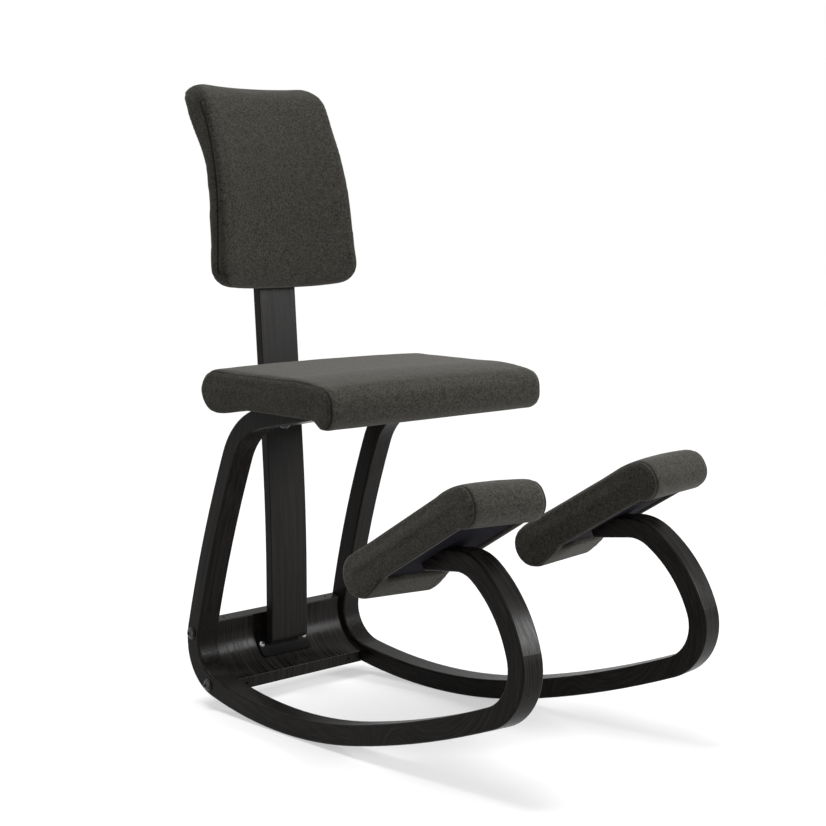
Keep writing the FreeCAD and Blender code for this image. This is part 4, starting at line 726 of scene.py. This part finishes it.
def all_finishes(finish):
    """The finish for each slot, made where there is none yet."""
    def wood(name, **values):
        return lambda: stained_wood(name, finish, **values)

    def metal(name, **values):
        return lambda: plated(name, **values)

    makers = {
        "cushion_cloth": lambda: cover_cloth("cushion_cloth", finish),
        "tab_cloth": lambda: cover_cloth("tab_cloth", finish, seams=False),
        "liner_cloth": lambda: liner_cloth(finish),
        "runner_wood": wood("runner_wood", rough=0.34, grain_share=1.0, gloss=0.065, bent=True),
        "panel_wood": wood("panel_wood", rough=0.31, grain_share=1.0, gloss=0.08),
        "post_wood": wood("post_wood", rough=0.45, grain_share=0.7, gloss=0.10),
        "board_plywood": plywood,
        "black_steel": lambda: painted_steel("black_steel", finish, rough=0.42),
        "black_steel_fastener": metal("black_steel_fastener",
                                      colour=(0.05, 0.05, 0.052), rough=0.28),
        "zinc_fastener": metal("zinc_fastener", colour=(0.30, 0.30, 0.29), rough=0.32),
        "brass_insert": metal("brass_insert", colour=(0.70, 0.53, 0.26), rough=0.32),
    }
    return {name: bpy.data.materials.get(PREFIX + name) or make() for name, make in makers.items()}


def scene_settings():
    return bpy.context.scene.chair_finish, bpy.context.scene.chair_padding


class CHAIR_OT_camera(bpy.types.Operator):
    """Puts the camera where the photograph was taken from"""
    bl_idname = "chair.camera"
    bl_label = "Camera"

    def execute(self, context):
        data = bpy.data.cameras.new("camera")
        data.lens = LENS
        data.sensor_width = SENSOR
        data.clip_start = NEAREST
        data.clip_end = FARTHEST
        camera = bpy.data.objects.new("camera", data)
        context.scene.collection.objects.link(camera)
        camera.location = CAMERA_AT
        camera.rotation_euler = (math.radians(90 - CAMERA_DOWN), 0.0, math.radians(CAMERA_TURN))
        context.scene.camera = camera
        return {"FINISHED"}


class CHAIR_OT_frame_finish(bpy.types.Operator):
    """Gives the wood, boards, liners, steel and fasteners their finishes"""
    bl_idname = "chair.frame_finish"
    bl_label = "Wood, steel and liners"

    def execute(self, context):
        finish, _ = scene_settings()
        materials = all_finishes(finish)
        for slot, nodes in SLOTS.items():
            painted(nodes, materials[slot])
        return {"FINISHED"}


class CHAIR_OT_seat(bpy.types.Operator):
    """Makes the seat's cushion"""
    bl_idname = "chair.seat"
    bl_label = "Seat cushion"

    def execute(self, context):
        finish, padding = scene_settings()
        flat_sided_pad("seat_cushion_cover", "seat_cushion", seat_place(), SEAT_HALF, SEAT_VOXEL,
                       all_finishes(finish), padding)
        return {"FINISHED"}


class CHAIR_OT_knee_pads(bpy.types.Operator):
    """Makes the two knee cushions"""
    bl_idname = "chair.knee_pads"
    bl_label = "Knee cushions"

    def execute(self, context):
        finish, padding = scene_settings()
        for side_name, side in (("right", -1), ("left", 1)):
            flat_sided_pad("knee_cushion_cover_" + side_name, "knee_cushion_" + side_name,
                           knee_place(side), KNEE_HALF, KNEE_VOXEL, all_finishes(finish), padding)
        return {"FINISHED"}


class CHAIR_OT_backrest(bpy.types.Operator):
    """Makes the backrest's cushion"""
    bl_idname = "chair.backrest"
    bl_label = "Backrest cushion"

    def execute(self, context):
        finish, padding = scene_settings()
        backrest_pad(all_finishes(finish), padding)
        return {"FINISHED"}


# Stage.

FLOOR_SIZE = 30.0
FLOOR_GREY = (0.5, 0.5, 0.5, 1.0)
FLOOR_GLOW = 0.5
WHITE = (1.0, 1.0, 1.0, 1.0)
WORLD_LIGHT = 0.2
WORLD_SHOWN = 1.0


def shown_behind(tree, output, lit, shown):
    """Gives the rays that see the background its own shader, and all others the one that lights."""
    nodes, links = tree.nodes, tree.links
    path = nodes.new("ShaderNodeLightPath")
    seen = path.outputs["Is Camera Ray"]
    for ray in ("Is Glossy Ray", "Is Transmission Ray"):
        either = nodes.new("ShaderNodeMath")
        either.operation = "MAXIMUM"
        links.new(seen, either.inputs[0])
        links.new(path.outputs[ray], either.inputs[1])
        seen = either.outputs[0]
    choice = nodes.new("ShaderNodeMixShader")
    links.new(seen, choice.inputs[0])
    links.new(lit, choice.inputs[1])
    links.new(shown, choice.inputs[2])
    links.new(choice.outputs[0], nodes[output].inputs["Surface"])


def floor_finish():
    """A matt floor that takes shadows, and looks white where none fall."""
    made = Finish("floor")
    made.set(Base_Color=FLOOR_GREY, Roughness=1.0, Specular_IOR_Level=0.0)
    emission = made.nodes.new("ShaderNodeEmission")
    emission.inputs["Strength"].default_value = FLOOR_GLOW
    total = made.nodes.new("ShaderNodeAddShader")
    lit = made.shader.outputs[0]
    made.links.new(lit, total.inputs[0])
    made.links.new(emission.outputs[0], total.inputs[1])
    shown_behind(made.material.node_tree, "Material Output", lit, total.outputs[0])
    return made.material


def white_world():
    """A white background that lights the chair only faintly."""
    world = bpy.data.worlds.new("studio")
    world.use_nodes = True
    nodes = world.node_tree.nodes
    light, shown = nodes["Background"], nodes.new("ShaderNodeBackground")
    for background, strength in ((light, WORLD_LIGHT), (shown, WORLD_SHOWN)):
        background.inputs["Color"].default_value = WHITE
        background.inputs["Strength"].default_value = strength
    shown_behind(world.node_tree, "World Output", light.outputs[0], shown.outputs[0])
    bpy.context.scene.world = world


def softbox(name, place, aim, width, height, power):
    data = bpy.data.lights.new(name, "AREA")
    data.shape = "RECTANGLE"
    data.size = width
    data.size_y = height
    data.energy = power
    lamp = bpy.data.objects.new(name, data)
    bpy.context.scene.collection.objects.link(lamp)
    lamp.location = place
    lamp.rotation_euler = (Vector(aim) - Vector(place)).to_track_quat("-Z", "Y").to_euler()


def skylight(name, towards, spread, strength):
    data = bpy.data.lights.new(name, "SUN")
    data.angle = math.radians(spread)
    data.energy = strength
    lamp = bpy.data.objects.new(name, data)
    bpy.context.scene.collection.objects.link(lamp)
    lamp.rotation_euler = Vector(towards).to_track_quat("Z", "Y").to_euler()


class CHAIR_OT_stage(bpy.types.Operator):
    """Lays the pale floor and hangs the soft studio lights"""
    bl_idname = "chair.stage"
    bl_label = "Floor and lights"

    def execute(self, context):
        bm = bmesh.new()
        bmesh.ops.create_grid(bm, x_segments=1, y_segments=1, size=FLOOR_SIZE / 2)
        floor = mesh_object("floor", bm)
        floor.data.materials.append(floor_finish())
        white_world()
        skylight("skylight", towards=(-0.09, 0.18, 1.0), spread=30.0, strength=2.7)
        softbox("front_left", place=(2.0, -2.4, 1.45), aim=(0.0, -0.1, 0.3),
                width=0.6, height=1.0, power=95.0)
        softbox("front_right", place=(-2.6, -1.6, 1.8), aim=(0.0, 0.0, 0.5),
                width=1.2, height=1.2, power=20.0)
        context.scene.view_settings.view_transform = "Standard"
        return {"FINISHED"}


class CHAIR_PT_panel(bpy.types.Panel):
    """Lists the chair's pieces and their settings"""
    bl_label = "Kneeling chair"
    bl_idname = "CHAIR_PT_panel"
    bl_space_type = "VIEW_3D"
    bl_region_type = "UI"
    bl_category = "Kneeling chair"

    def draw(self, context):
        layout = self.layout
        for operator in OPERATORS:
            layout.operator(operator.bl_idname)
        for group in (context.scene.chair_finish, context.scene.chair_padding):
            for name in group.bl_rna.properties.keys():
                if name not in ("rna_type", "name"):
                    layout.prop(group, name)


OPERATORS = (CHAIR_OT_camera, CHAIR_OT_frame_finish, CHAIR_OT_seat, CHAIR_OT_knee_pads,
             CHAIR_OT_backrest, CHAIR_OT_stage)
CLASSES = (ChairFinish, ChairPadding) + OPERATORS + (CHAIR_PT_panel,)


def register():
    for made in CLASSES:
        bpy.utils.register_class(made)
    bpy.types.Scene.chair_finish = bpy.props.PointerProperty(type=ChairFinish)
    bpy.types.Scene.chair_padding = bpy.props.PointerProperty(type=ChairPadding)


def unregister():
    del bpy.types.Scene.chair_padding
    del bpy.types.Scene.chair_finish
    for made in reversed(CLASSES):
        bpy.utils.unregister_class(made)


def main():
    register()
    bpy.ops.chair.camera()
    bpy.ops.chair.frame_finish()
    bpy.ops.chair.seat()
    bpy.ops.chair.knee_pads()
    bpy.ops.chair.backrest()
    bpy.ops.chair.stage()


if __name__ == "__main__":
    main()
